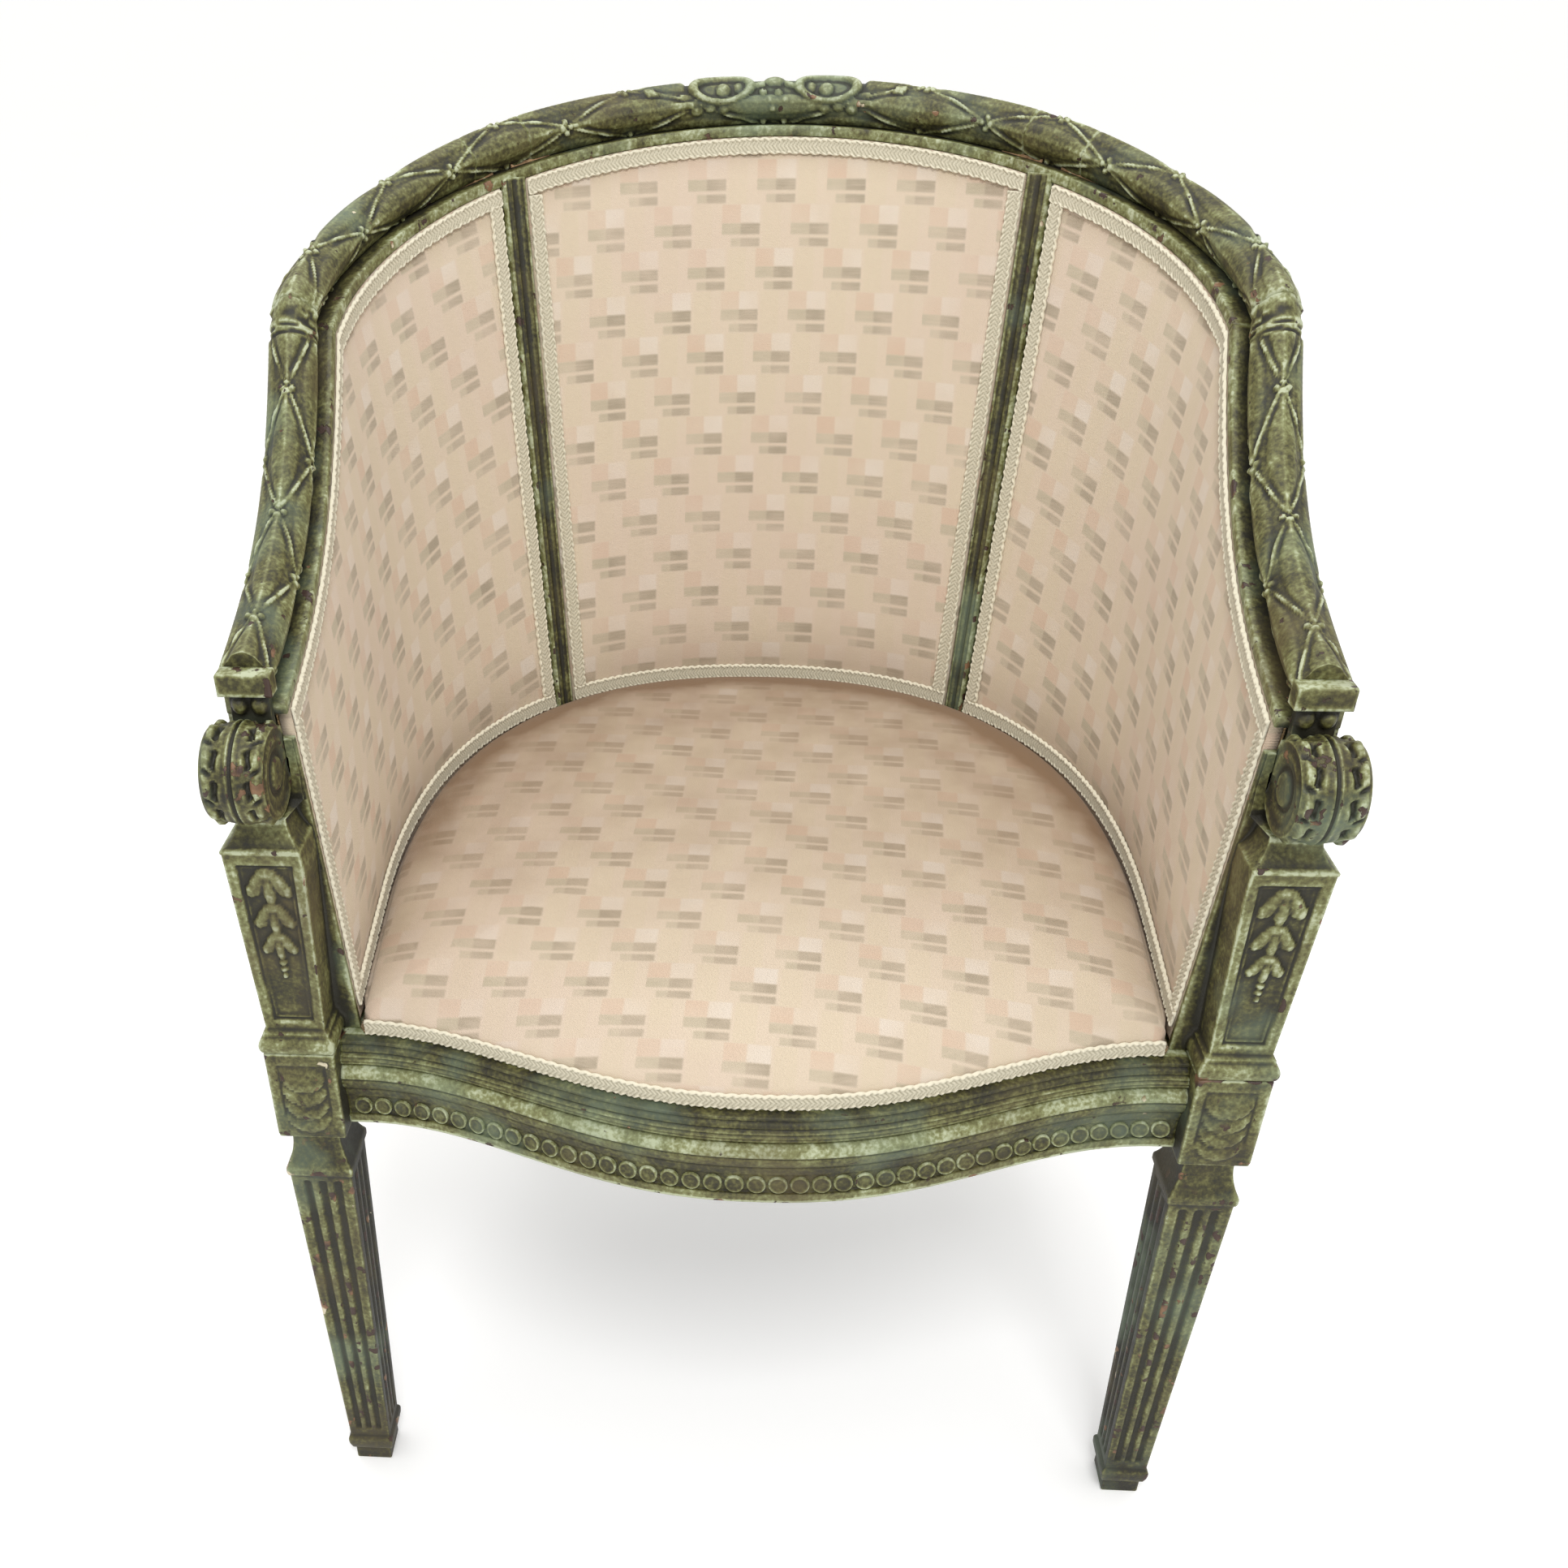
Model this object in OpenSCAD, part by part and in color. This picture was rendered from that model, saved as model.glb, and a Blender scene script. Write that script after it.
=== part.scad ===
// Tub-shaped bergere armchair: a carved, painted frame with a ribbon-bound rail that
// sweeps from the crest down to scrolled arms, and a fixed, sprung and stuffed seat.
// Millimetres, +Z up, +X to the sitter's left, -Y to the front, floor at Z = 0.

/* [Seat plan] */
// Clear width between the side panels at the seat rails
seat_w = 473; // [440:1:510]
// Distance from the front plane of the legs to the back panel at the seat rails
seat_d = 398; // [370:1:430]
// Length of the straight part of each side, from the front plane of the legs
side_straight = 120; // [90:1:150]
// Squareness of the plan of the seat, where 2 is an ellipse
seat_squareness = 2.2; // [2:0.05:2.4]
// How far the panels stand inside the inner faces of the leg blocks
block_reveal = 10; // [8:0.5:13]

/* [Back and arms] */
// Overall height
back_h = 834; // [800:1:870]
// How far the back leans from the seat rails to the crest
back_rake = 102; // [80:1:125]
// Distance from the front plane to the knuckles, where the arms meet the crest
knuckle_y = 262; // [240:1:285]
// Height of the panels at the knuckles
knuckle_h = 724; // [700:1:745]
// Height of the side panels at the front of the arms
arm_h = 587; // [575:1:605]
// How far each side flares out at the crest
crest_flare = 24.5; // [15:0.5:35]
// How far each side flares out at the front of the arms
arm_flare = 13.5; // [10:0.5:18]
// Part of the arm's fall that is a straight slope
arm_slope_share = 0.37; // [0.25:0.01:0.5]
// Place of the back stiles along the rail from the crest to the arms
stile_share = 0.3; // [0.27:0.005:0.33]

/* [Crest and arm rail section] */
// Radius of the carved round
round_r = 13; // [11:0.25:15]
// Height of the carved round above its fillet
round_h = 25.5; // [23:0.25:26]
// Width of the plain inner fillet
fillet_w = 6; // [4:0.25:8]
// Height of the plain inner fillet
fillet_h = 6.5; // [5:0.25:8]
// How much the rail narrows midway between the stiles and the knuckles
rail_narrowing_share = 0.16; // [0:0.01:0.18]
// Depth of the tongue below the rail that the panels are tacked to
tongue_h = 14; // [10:0.5:18]

/* [Walls] */
// Depth of the inner pads at their edges
pad_t = 7; // [5:0.5:8]
// How far the inner pads swell at their middle
pad_crown = 6; // [3:0.5:9]
// Thickness of the woven backing cloth
hessian_t = 1; // [0.6:0.1:1.5]
// Depth of the walls at the crest
wall_top_t = 23; // [21:0.5:24]
// Depth of the walls at the seat rails
wall_base_t = 42; // [38:0.5:46]
// Thickness of the outer covers
cover_t = 2.7; // [2:0.1:3.5]
// Height of the tacking rails below the panels
tacking_h = 22; // [16:0.5:26]
// Gap between the feet of the panels and the seat rails
foot_gap = 4; // [3:0.25:6]

/* [Stiles and rear legs] */
// Width of a stile across the frame
stile_w = 34; // [30:0.5:38]
// Width of the crest block at the head of a stile
stile_head_w = 42; // [38:0.5:46]
// Width of the moulded strip that shows at the top of a stile
strip_top_w = 17; // [14:0.25:20]
// Width of the moulded strip that shows at the seat
strip_base_w = 14.5; // [12:0.25:17]
// Depth and width of the groove in the strip
strip_groove = 3; // [2:0.25:4]
// Side of a rear leg at the floor
rear_foot_w = 27; // [24:0.5:32]
// How far the rear feet stand behind the stiles
rear_splay = 52; // [30:1:70]

/* [Front legs] */
// Side of the leg blocks
block_w = 41.6; // [38:0.2:46]
// Height of the leg blocks
block_h = 62.5; // [56:0.5:70]
// Height of the hollow moulding below the blocks
cavetto_h = 26.5; // [22:0.5:30]
// Height from the floor to the top of the collars
leg_h = 293; // [280:1:320]
// Height of the collars
collar_h = 7; // [5:0.5:9]
// Side of a front leg below its collar
leg_top_w = 38.5; // [34:0.5:41]
// Side of a front leg above its foot
leg_foot_w = 28.5; // [25:0.5:32]
// Side of the flared foot
foot_w = 32; // [30:0.5:35]
// Height of the flared foot
foot_h = 20; // [15:0.5:25]
// Side of the small plinth under the foot
plinth_w = 25; // [22:0.5:28]
// Height of the small plinth
plinth_h = 13; // [9:0.5:16]
// Width of one flute
flute_w = 5; // [4:0.25:5.5]

/* [Arm posts and scrolls] */
// Height of the rounded moulding between block and post
torus_h = 16.5; // [13:0.5:19]
// How far that moulding stands out from the block
torus_out = 1.4; // [1:0.1:2]
// Side of a post at its base
post_base_w = 34.6; // [31:0.2:38]
// Side of a post at its top
post_top_w = 43.6; // [40:0.2:45]
// Height of the panelled part of a post
post_h = 120; // [112:1:126]
// Height of the hollow neck above it
neck_h = 17.5; // [15:0.5:20]
// Side of the neck below the scroll
neck_w = 27; // [24:0.5:31]
// Radius of the arm scroll
scroll_r = 27; // [25:0.5:29]
// Distance from the front plane to the middle of the scroll
scroll_y = 8; // [6:0.5:10]
// Width of the arm scroll
scroll_w = 37; // [34:0.5:39]
// Width of the plain tablet on top of the scroll
tablet_w = 28.5; // [26:0.5:32]
// Depth of the tablet from front to back
tablet_d = 11; // [9:0.5:13]
// Distance from the front plane to the backs of the scrolls
arm_front_y = 28; // [26:0.5:30]
// Depth of the post behind the scroll
wing_d = 18; // [15:0.5:21]

/* [Seat rails] */
// Height of the seat rails
rail_h = 60; // [54:0.5:62]
// Thickness of the curved seat rails
rail_t = 50; // [48:0.5:52]
// How far the front rail bows forward
rail_bow = 58; // [44:1:64]
// Setback of the front rail's ends from the front plane
rail_setback = 12; // [9:0.5:14]
// Thickness of the front rail
front_rail_t = 29; // [26:0.5:29]
// Squareness of the bow of the front rail
bow_squareness = 1.16; // [1.05:0.01:1.3]

/* [Seat] */
// Height of the seat's edge above the rails at the front
seat_edge_front = 6; // [4:0.5:10]
// Height of the seat's edge above the rails at the back
seat_edge_back = 56; // [46:0.5:62]
// Rise of the crown above the edges
seat_crown = 22; // [14:0.5:28]
// Thickness of the seat cover
seat_cover_t = 1.6; // [1.2:0.1:2.2]
// Width of the webbing straps
web_w = 50; // [44:1:55]
// Thickness of the webbing straps
web_t = 2; // [1.5:0.1:2.5]
// Radius of a seat spring at its ends
spring_r = 34; // [28:0.5:38]
// Radius of a seat spring at its waist
spring_waist_r = 22; // [18:0.5:26]
// Diameter of the spring wire
spring_wire = 3.6; // [3:0.1:4.2]

/* [Trims and fastenings] */
// Width of the gimp braid
gimp_w = 10.5; // [9:0.25:12]
// Thickness of the gimp braid
gimp_t = 2.2; // [1.6:0.1:2.8]
// Diameter of the frame dowels
dowel_d = 8; // [7:0.25:9]
// Length of the frame dowels
dowel_l = 30; // [26:1:34]
// Leg length of the triangular corner blocks
corner_l = 52; // [45:1:58]
// Diameter of the screws
screw_d = 4.6; // [4:0.1:5]

/* [Hidden] */

paint = [0.44, 0.47, 0.37];
fabric = [0.88, 0.8, 0.71];
braid = [0.87, 0.85, 0.75];
jute = [0.66, 0.55, 0.38];
bare_wood = [0.66, 0.5, 0.33];
steel = [0.6, 0.6, 0.62];

// Clearance round dowels and screws, gap beside soft pieces, and overrun of cuts
fit_gap = 0.05;
soft_gap = 0.3;
over = 1;

// Derived heights and places
seat_top = leg_h + cavetto_h + block_h;
rail_foot = seat_top - rail_h;
side_x = seat_w / 2;
leg_x = side_x + block_reveal + block_w / 2;
leg_y = block_w / 2;
rail_rise = fillet_h + round_h;
rail_w = fillet_w + 2 * round_r;
crest_y = seat_d + back_rake;
crest_h = back_h - rail_rise;
frame_in = pad_t + hessian_t + 4 * soft_gap;
post_foot = seat_top + torus_h;
post_top = post_foot + post_h;
scroll_z = post_top + neck_h + scroll_r;
arm_centre_x = side_x + arm_flare + fillet_w + round_r;
wing_back = arm_front_y + wing_d;
canvas_foot = seat_top + soft_gap;
// Profile of the front rail's moulded face: distance behind its lowest fillet and height, as
// shares of the thickness and of the height of the rail
front_profile_shares = [
  [0.38, 1], [0.14, 0.985], [0.14, 0.95], [0.19, 0.935], [0.12, 0.915], [0.07, 0.85], [0.06, 0.84],
  [0, 0.78], [0.05, 0.735], [-0.09, 0.7], [-0.155, 0.64], [-0.14, 0.585], [-0.12, 0.52], [0, 0.44],
  [0.05, 0.31], [0.05, 0.1], [0, 0.095], [0, 0]
];
front_most = rail_setback - rail_bow + front_rail_t * min([for (q = front_profile_shares) q[0]]);
depth_centre = (crest_y + rail_w + front_most) / 2;

// The chair stands with the middle of its depth over the origin
module placed() {
  translate([0, -depth_centre, 0]) children();
}

module left() {
  mirror([1, 0, 0]) children();
}

// Curves of the walls
//
// Every place on the walls is given by a share from 0 at the middle of the back to 1 at the
// front of an arm, negative on the other side, measured along the plan.
curve_steps = 36;
arm_steps = 20;
function mix(a, b, t) = a + (b - a) * t;
function running_length(p) =
  [for (i = 0, c = 0; i < len(p); c = c + (i + 1 < len(p) ? norm(p[i + 1] - p[i]) : 0), i = i + 1) c];
function arm_fall(t) = arm_slope_share * t + (1 - arm_slope_share) * pow(t, 3);

seat_points = concat(
  [for (i = [0:curve_steps]) let (a = 90 * i / curve_steps)
    [side_x * pow(sin(a), 2 / seat_squareness),
     side_straight + (seat_d - side_straight) * pow(max(cos(a), 0), 2 / seat_squareness)]],
  [[side_x, mix(side_straight, arm_front_y, 0.5)], [side_x, arm_front_y]]
);
seat_runs = running_length(seat_points);
seat_run = seat_runs[len(seat_runs) - 1];
seat_x_table = [for (i = [0:len(seat_points) - 1]) [seat_runs[i] / seat_run, seat_points[i][0]]];
seat_y_table = [for (i = [0:len(seat_points) - 1]) [seat_runs[i] / seat_run, seat_points[i][1]]];

top_points = concat(
  [for (i = [0:curve_steps]) let (a = 90 * i / curve_steps)
    [(side_x + crest_flare) * sin(a), mix(knuckle_y, crest_y, cos(a))]],
  [for (i = [1:arm_steps]) let (t = 1 - i / arm_steps)
    [side_x + mix(arm_flare, crest_flare, t), mix(arm_front_y, knuckle_y, t)]]
);
top_heights = concat(
  [for (i = [0:curve_steps]) mix(knuckle_h, crest_h, cos(90 * i / curve_steps))],
  [for (i = [1:arm_steps]) mix(arm_h, knuckle_h, arm_fall(1 - i / arm_steps))]
);
top_runs = running_length(top_points);
top_run = top_runs[len(top_runs) - 1];
top_x_table = [for (i = [0:len(top_points) - 1]) [top_runs[i] / top_run, top_points[i][0]]];
top_y_table = [for (i = [0:len(top_points) - 1]) [top_runs[i] / top_run, top_points[i][1]]];
top_z_table = [for (i = [0:len(top_points) - 1]) [top_runs[i] / top_run, top_heights[i]]];
knuckle_share = top_runs[curve_steps] / top_run;

function seat_plan(s) = [sign(s) * lookup(abs(s), seat_x_table), lookup(abs(s), seat_y_table)];
function top_plan(s) = [sign(s) * lookup(abs(s), top_x_table), lookup(abs(s), top_y_table)];
function top_z(s) = lookup(abs(s), top_z_table);
function rise_share(s, z) = max(0, (z - seat_top) / (top_z(s) - seat_top));
function wall_plan(s, z) = mix(seat_plan(s), top_plan(s), rise_share(s, z));

// Unit vector along the plan at a place on the wall, and the one that points into the chair
near_share = 0.006;
function along(s, z) =
  let (d = wall_plan(min(s + near_share, 1), z) - wall_plan(max(s - near_share, -1), z)) d / norm(d);
function inward(s, z) = let (d = along(s, z)) [d[1], -d[0]];
function wall(s, z, u) =
  let (p = wall_plan(s, z) + u * inward(s, z)) [p[0], p[1], z];

// The outer face of the frame, which is thicker at its foot than at the crest
function wall_t(s, z) = mix(wall_base_t, wall_top_t, rise_share(s, z));

// Stile places and half widths as shares of the run
head_half_share = stile_head_w / 2 / top_run;
stile_in_share = stile_share - head_half_share;
stile_out_share = stile_share + head_half_share;

// Shares at which the rings of the rail lie, so that rail, pads, covers and braids keep together
centre_steps = 12;
side_steps = 7;
arm_rail_steps = 9;
function knots(a, b, n) = [for (i = [0:n]) mix(a, b, i / n)];
side_knots = knots(stile_out_share, knuckle_share, side_steps);
arm_knots = knots(knuckle_share, 1, arm_rail_steps);
centre_knots = knots(-stile_in_share, stile_in_share, centre_steps);
function inner_knots(first, last) =
  [for (s = concat(side_knots, [for (i = [1:arm_rail_steps]) arm_knots[i]])) if (s > first && s < last) s];

// Skins
//
// A skin over rings of equally many points, with flat ends or closed on itself. Ends that are
// hollow in outline are given as lists of simpler pieces, for the first and for the last ring
function total(v) = [for (p = v) 1] * v;
function middle(r) = total(r) / len(r);
function facing(r) = total([for (i = [1:len(r) - 2]) cross(r[i] - r[0], r[i + 1] - r[0])]);
function turned(f) = concat([f[0]], [for (i = [len(f) - 1:-1:1]) f[i]]);
function ring_faces(n, m, closed) =
  [for (i = [0:(closed ? n - 1 : n - 2)], j = [0:m - 1], k = [0, 1])
    let (a = i * m + j, b = i * m + (j + 1) % m, c = ((i + 1) % n) * m + (j + 1) % m,
         d = ((i + 1) % n) * m + j)
    k == 0 ? [a, c, b] : [a, d, c]];
module skin(rings, closed = false, first = undef, last = undef) {
  n = len(rings);
  m = len(rings[0]);
  whole = [[for (j = [0:m - 1]) j]];
  ends = closed ? [] : concat(
    is_undef(first) ? whole : first,
    [for (f = is_undef(last) ? whole : last) turned([for (j = f) (n - 1) * m + j])]);
  faces = concat(ring_faces(n, m, closed), ends);
  outward = facing(rings[0]) * (middle(rings[1]) - middle(rings[0])) > 0;
  polyhedron([for (r = rings, p = r) p], outward ? faces : [for (f = faces) turned(f)], convexity = 8);
}

function square_at(x, y, w, z) =
  [[x - w / 2, y - w / 2, z], [x + w / 2, y - w / 2, z], [x + w / 2, y + w / 2, z], [x - w / 2, y + w / 2, z]];

// A curved slab on the wall with a ring at every knot, from the depth of its back to that of its face
module wall_slab(at, heights, back, face) {
  last = len(at) - 1;
  top = len(heights(0)) - 1;
  m = 2 * (top + 1);
  ends = [for (j = [0:top - 1]) [j, j + 1, m - 2 - j, m - 1 - j]];
  rings = [for (i = [0:last]) let (s = at[i], z = heights(s)) concat(
    [for (j = [0:top]) wall(s, z[j], face(s, z[j], i, last, j))],
    [for (j = [top:-1:0]) wall(s, z[j], back(s, z[j]))])];
  skin(rings, first = ends, last = ends);
}

// A flat braid round the edge of a panel of the wall
module wall_braid(at, low, high, back, out) {
  last = len(at) - 1;
  sides = 4;
  width = abs(at[last] - at[0]) * top_run;
  da = gimp_w / width;
  function across(i) = (at[i] - at[0]) / (at[last] - at[0]);
  round_trip = concat(
    [for (i = [0:last - 1]) [across(i), 0]], [for (i = [0:sides - 1]) [1, i / sides]],
    [for (i = [last:-1:1]) [across(i), 1]], [for (i = [sides:-1:1]) [0, i / sides]]);
  function place(a, t, u) =
    let (s = mix(at[0], at[last], a), z = mix(low(s), high(s), t)) wall(s, z, back(s, z) + u);
  rings = [for (p = round_trip)
    let (s = mix(at[0], at[last], p[0]), dt = gimp_w / (high(s) - low(s)),
         q = [max(da, min(1 - da, p[0])), max(dt, min(1 - dt, p[1]))])
    [place(p[0], p[1], 0), place(q[0], q[1], 0), place(q[0], q[1], out), place(p[0], p[1], out)]];
  skin(rings, closed = true);
}

// A cylinder that starts at a point and runs along a direction
module rod(p, v, l, d) {
  translate(p)
    rotate([0, acos(v[2] / norm(v)), atan2(v[1], v[0])])
      cylinder(d = d, h = l, $fn = 24);
}

// Rail of crest and arms
//
// Section points are given as a distance into the chair and a height above the panel edge
round_start = asin((round_h - round_r) / round_r);
round_steps = 9;
rail_section = concat(
  [[-frame_in, 0], [0, 0], [0, fillet_h]],
  [for (i = [0:round_steps]) let (a = mix(-round_start, 180, i / round_steps))
    [-fillet_w - round_r + round_r * cos(a), fillet_h + round_h - round_r + round_r * sin(a)]],
  [[-rail_w, 0], [-wall_top_t, 0], [-wall_top_t, -tongue_h], [-frame_in, -tongue_h]]
);
function rail_point(s) = let (p = top_plan(s)) [p[0], p[1], top_z(s)];
function tongue_lean(s) =
  (wall_plan(s, top_z(s) - tongue_h) - top_plan(s)) * inward(s, top_z(s));
function rail_ring(s) =
  let (d = rail_point(min(s + near_share, 1)) - rail_point(max(s - near_share, -1)),
       square_end = abs(s) > 1 - near_share,
       t = square_end ? [0, -sign(s), 0] : d / norm(d),
       n2 = square_end ? [-sign(s), 0] : inward(s, top_z(s)),
       n = [n2[0], n2[1], 0],
       b = cross(n, t),
       lean = tongue_lean(s),
       k = rail_narrowing_share * sin(180 * max(0, min(1, (abs(s) - stile_share) / (knuckle_share - stile_share)))))
  [for (q = rail_section)
    let (u = q[0] < -wall_top_t ? q[0] * (1 - k) : q[0], above = q[1] > fillet_h ? q[1] * (1 - k / 2) : q[1])
    rail_point(s) + (q[1] < 0 ? q[0] + lean : u) * n + above * b];
function rail_along(s) =
  let (d = rail_point(s + near_share) - rail_point(s - near_share)) d / norm(d);
function rail_core(s) =
  let (n = inward(s, top_z(s)), b = cross([n[0], n[1], 0], rail_along(s)))
  rail_point(s) - [n[0], n[1], 0] * rail_w / 2 + b * fillet_h;
last_arc = 3 + round_steps;
rail_end = [[last_arc + 4, 0, last_arc + 2, last_arc + 3], [3, last_arc + 1, last_arc + 2, 0, 1, 2],
  [for (i = [3:last_arc + 1]) i]];
module rail_run(at) {
  skin([for (s = at) rail_ring(s)], first = rail_end, last = rail_end);
}

// Dowels across the joints of one side, as a middle point and a direction
rail_mid = rail_foot + rail_h / 2;
dowel_rise = rail_h / 4;
stile_foot_plan = seat_plan(stile_share);
stile_along = along(stile_share, seat_top);
stile_in = inward(stile_share, seat_top);
rail_outer = wall_base_t + soft_gap + cover_t;
rail_centre_u = -rail_outer + rail_t / 2;
function stile_side(k) = stile_foot_plan + k * stile_along * stile_w / 2 + stile_in * rail_centre_u;
side_joint_x = side_x - rail_centre_u;
front_joint_y = rail_setback + front_rail_t / 2;
wing_top_z = arm_h - tongue_h;
along_stile = [stile_along[0], stile_along[1], 0];
function level_pair(p) = [for (k = [-1, 1]) [p[0], p[1], rail_mid + k * dowel_rise]];
function pair_along(p, v) = [for (q = level_pair(p)) [q, v]];
function rail_dowel(s) = [rail_core(s), rail_along(s)];
// The dowels of one side, each as a middle point and a direction
dowel_places = concat(
  pair_along([side_x + block_reveal, front_joint_y], [1, 0, 0]),
  pair_along([side_joint_x, block_w], [0, 1, 0]),
  pair_along(stile_side(-1), along_stile),
  pair_along(stile_side(1), along_stile),
  [for (s = [stile_in_share, stile_out_share, knuckle_share]) rail_dowel(s)],
  [[[leg_x, leg_y, seat_top], [0, 0, 1]],
   [[arm_centre_x, arm_front_y, scroll_z - dowel_d], [0, 1, 0]],
   [[arm_centre_x, (arm_front_y + wing_back) / 2, wing_top_z], [0, 0, 1]]]
);
front_rail_dowels = [0, 1];
side_rail_dowels = [2, 3, 6, 7];
back_rail_dowels = [4, 5];
stile_dowels = [4, 5, 6, 7, 8, 9];
leg_dowels = [0, 1, 2, 3, 11];
module side_dowels(picks, grow = 0) {
  for (i = picks) {
    p = dowel_places[i][0];
    v = dowel_places[i][1];
    l = (i < len(dowel_places) - 1 ? dowel_l : dowel_l * 0.7) + 2 * grow;
    rod(p - v * l / 2, v, l, dowel_d + 2 * grow);
  }
}
module frame_dowels() {
  every = [for (i = [0:len(dowel_places) - 1]) i];
  color(bare_wood) placed() {
    side_dowels(every);
    left() side_dowels(every);
  }
}

// Front legs
module flute(face, i) {
  low = plinth_h + foot_h + leg_foot_w / 2;
  high = leg_h - collar_h - leg_top_w / 3;
  rotate([0, 0, 90 * face]) {
    a = [i * leg_foot_w / 4, -leg_foot_w / 2 - flute_w / 6, low];
    b = [i * leg_top_w / 4, -leg_top_w / 2 - flute_w / 6, high];
    rod(a, b - a, norm(b - a), flute_w);
  }
}
module square_stack(sizes) {
  skin([for (q = sizes) square_at(leg_x, leg_y, q[0], q[1])]);
}
block_foot = leg_h + cavetto_h;
module front_leg() {
  hollow_w = block_w * 0.72;
  difference() {
    square_stack([
      [plinth_w, 0], [plinth_w, plinth_h], [foot_w * 0.9, plinth_h + foot_h * 0.05], [foot_w, plinth_h + foot_h * 0.5],
      [leg_foot_w, plinth_h + foot_h], [leg_top_w, leg_h - collar_h], [block_w, leg_h - collar_h * 0.95],
      [block_w, leg_h], [hollow_w, leg_h + cavetto_h * 0.4], [hollow_w, leg_h + cavetto_h * 0.7],
      [block_w, block_foot], [block_w, seat_top]]);
    translate([leg_x, leg_y, 0])
      for (face = [0:3], i = [-1:1]) flute(face, i);
    // Sunk panels on the two outer faces of the block
    panel_w = block_w * 0.62;
    panel_h = block_h * 0.78;
    sink = block_w * 0.04;
    translate([leg_x, leg_y, block_foot + (block_h - panel_h) / 2]) {
      translate([-panel_w / 2, -block_w / 2 - over, 0]) cube([panel_w, sink + over, panel_h]);
      translate([block_w / 2 - sink, -panel_w / 2, 0]) cube([sink + over, panel_w, panel_h]);
    }
    side_dowels(leg_dowels, fit_gap);
  }
}
module front_leg_right() { color(paint) placed() front_leg(); }
module front_leg_left() { color(paint) placed() left() front_leg(); }

// Arm posts
//
// The panelled pilaster stands on the leg block, and the wing behind it carries the side panel
wing_lip = strip_groove + over;
function wing_x(z) = mix(side_x, side_x + arm_flare, (z - seat_top) / (arm_h - seat_top));
function post_ring(z, w, front) =
  let (x0 = max(leg_x - w / 2, wing_x(z) + over), x1 = leg_x + w / 2, x2 = wing_x(z) + frame_in)
  [[x0, arm_front_y, z], [x0, front, z], [x1, front, z], [x1, wing_back, z], [x2, wing_back, z],
   [x2, arm_front_y + wing_lip, z], [wing_x(z), arm_front_y + wing_lip, z], [wing_x(z), arm_front_y, z]];
post_lean = atan((post_top_w - post_base_w) / 2 / post_h);
module arm_post() {
  torus_w = block_w + 2 * torus_out;
  neck_top = post_top + neck_h;
  wing_front = arm_front_y - over;
  sizes = [[seat_top, block_w], [seat_top + torus_h * 0.25, torus_w], [seat_top + torus_h * 0.65, torus_w],
    [post_foot - over / 2, post_base_w + torus_out], [post_foot, post_base_w], [post_top, post_top_w],
    [post_top + neck_h * 0.1, post_top_w], [post_top + neck_h * 0.5, mix(neck_w, post_top_w, 0.35)],
    [neck_top, neck_w]];
  difference() {
    skin(concat(
      [for (q = sizes) post_ring(q[0], q[1], leg_y - q[1] / 2)],
      [post_ring(neck_top + fit_gap, scroll_w, wing_front), post_ring(wing_top_z, scroll_w, wing_front)]),
      first = [[0, 1, 2, 3, 4, 5, 6, 7]], last = [[5, 6, 7, 0, 1, 2, 3, 4]]);
    // Sunk panels of the front and of the outer face
    panel_h = post_h * 0.86;
    panel_w = post_base_w * 0.62;
    panel_z = post_foot + (post_h - panel_h) / 2;
    sink = post_base_w * 0.07;
    for (outer = [0, 1])
      translate([leg_x, leg_y, panel_z])
        rotate([0, 0, outer * 90])
          translate([0, sink - mix(post_base_w, post_top_w, 0.07) / 2, 0])
            rotate([post_lean, 0, 0])
              translate([-panel_w / 2, -post_base_w, 0]) cube([panel_w, post_base_w, panel_h]);
    side_dowels([11, 12, 13], fit_gap);
  }
}
module arm_post_right() { color(paint) placed() arm_post(); }
module arm_post_left() { color(paint) placed() left() arm_post(); }

// Arm scrolls
//
// A roll whose axis lies across the chair, cut flat where it meets the post, with a tablet on top
module arm_scroll() {
  eye_r = scroll_r * 0.36;
  eye_out = scroll_w * 0.03;
  tablet_top = arm_h + rail_rise * 0.83;
  back_y = arm_front_y - over;
  difference() {
    union() {
      intersection() {
        translate([arm_centre_x - scroll_w / 2, scroll_y, scroll_z])
          rotate([0, 90, 0]) cylinder(r = scroll_r, h = scroll_w, $fn = 64);
        translate([arm_centre_x - scroll_w, back_y - 3 * scroll_r, scroll_z - 2 * scroll_r])
          cube([2 * scroll_w, 3 * scroll_r, 4 * scroll_r]);
      }
      translate([leg_x - tablet_w / 2, back_y - tablet_d, scroll_z])
        cube([tablet_w, tablet_d, tablet_top - scroll_z]);
      translate([arm_centre_x - scroll_w / 2 - eye_out, scroll_y - scroll_r * 0.1, scroll_z])
        rotate([0, 90, 0]) cylinder(r = eye_r, h = scroll_w + 2 * eye_out, $fn = 32);
    }
    side_dowels([12], fit_gap);
  }
}
module arm_scroll_right() { color(paint) placed() arm_scroll(); }
module arm_scroll_left() { color(paint) placed() left() arm_scroll(); }

// Arm rails, crest sides and crest centre
module arm_rail() {
  difference() {
    rail_run(arm_knots);
    side_dowels([10, 13], fit_gap);
  }
}
module arm_rail_right() { color(paint) placed() arm_rail(); }
module arm_rail_left() { color(paint) placed() left() arm_rail(); }

module crest_side() {
  difference() {
    rail_run(side_knots);
    side_dowels([9, 10], fit_gap);
  }
}
module crest_side_right() { color(paint) placed() crest_side(); }
module crest_side_left() { color(paint) placed() left() crest_side(); }

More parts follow.
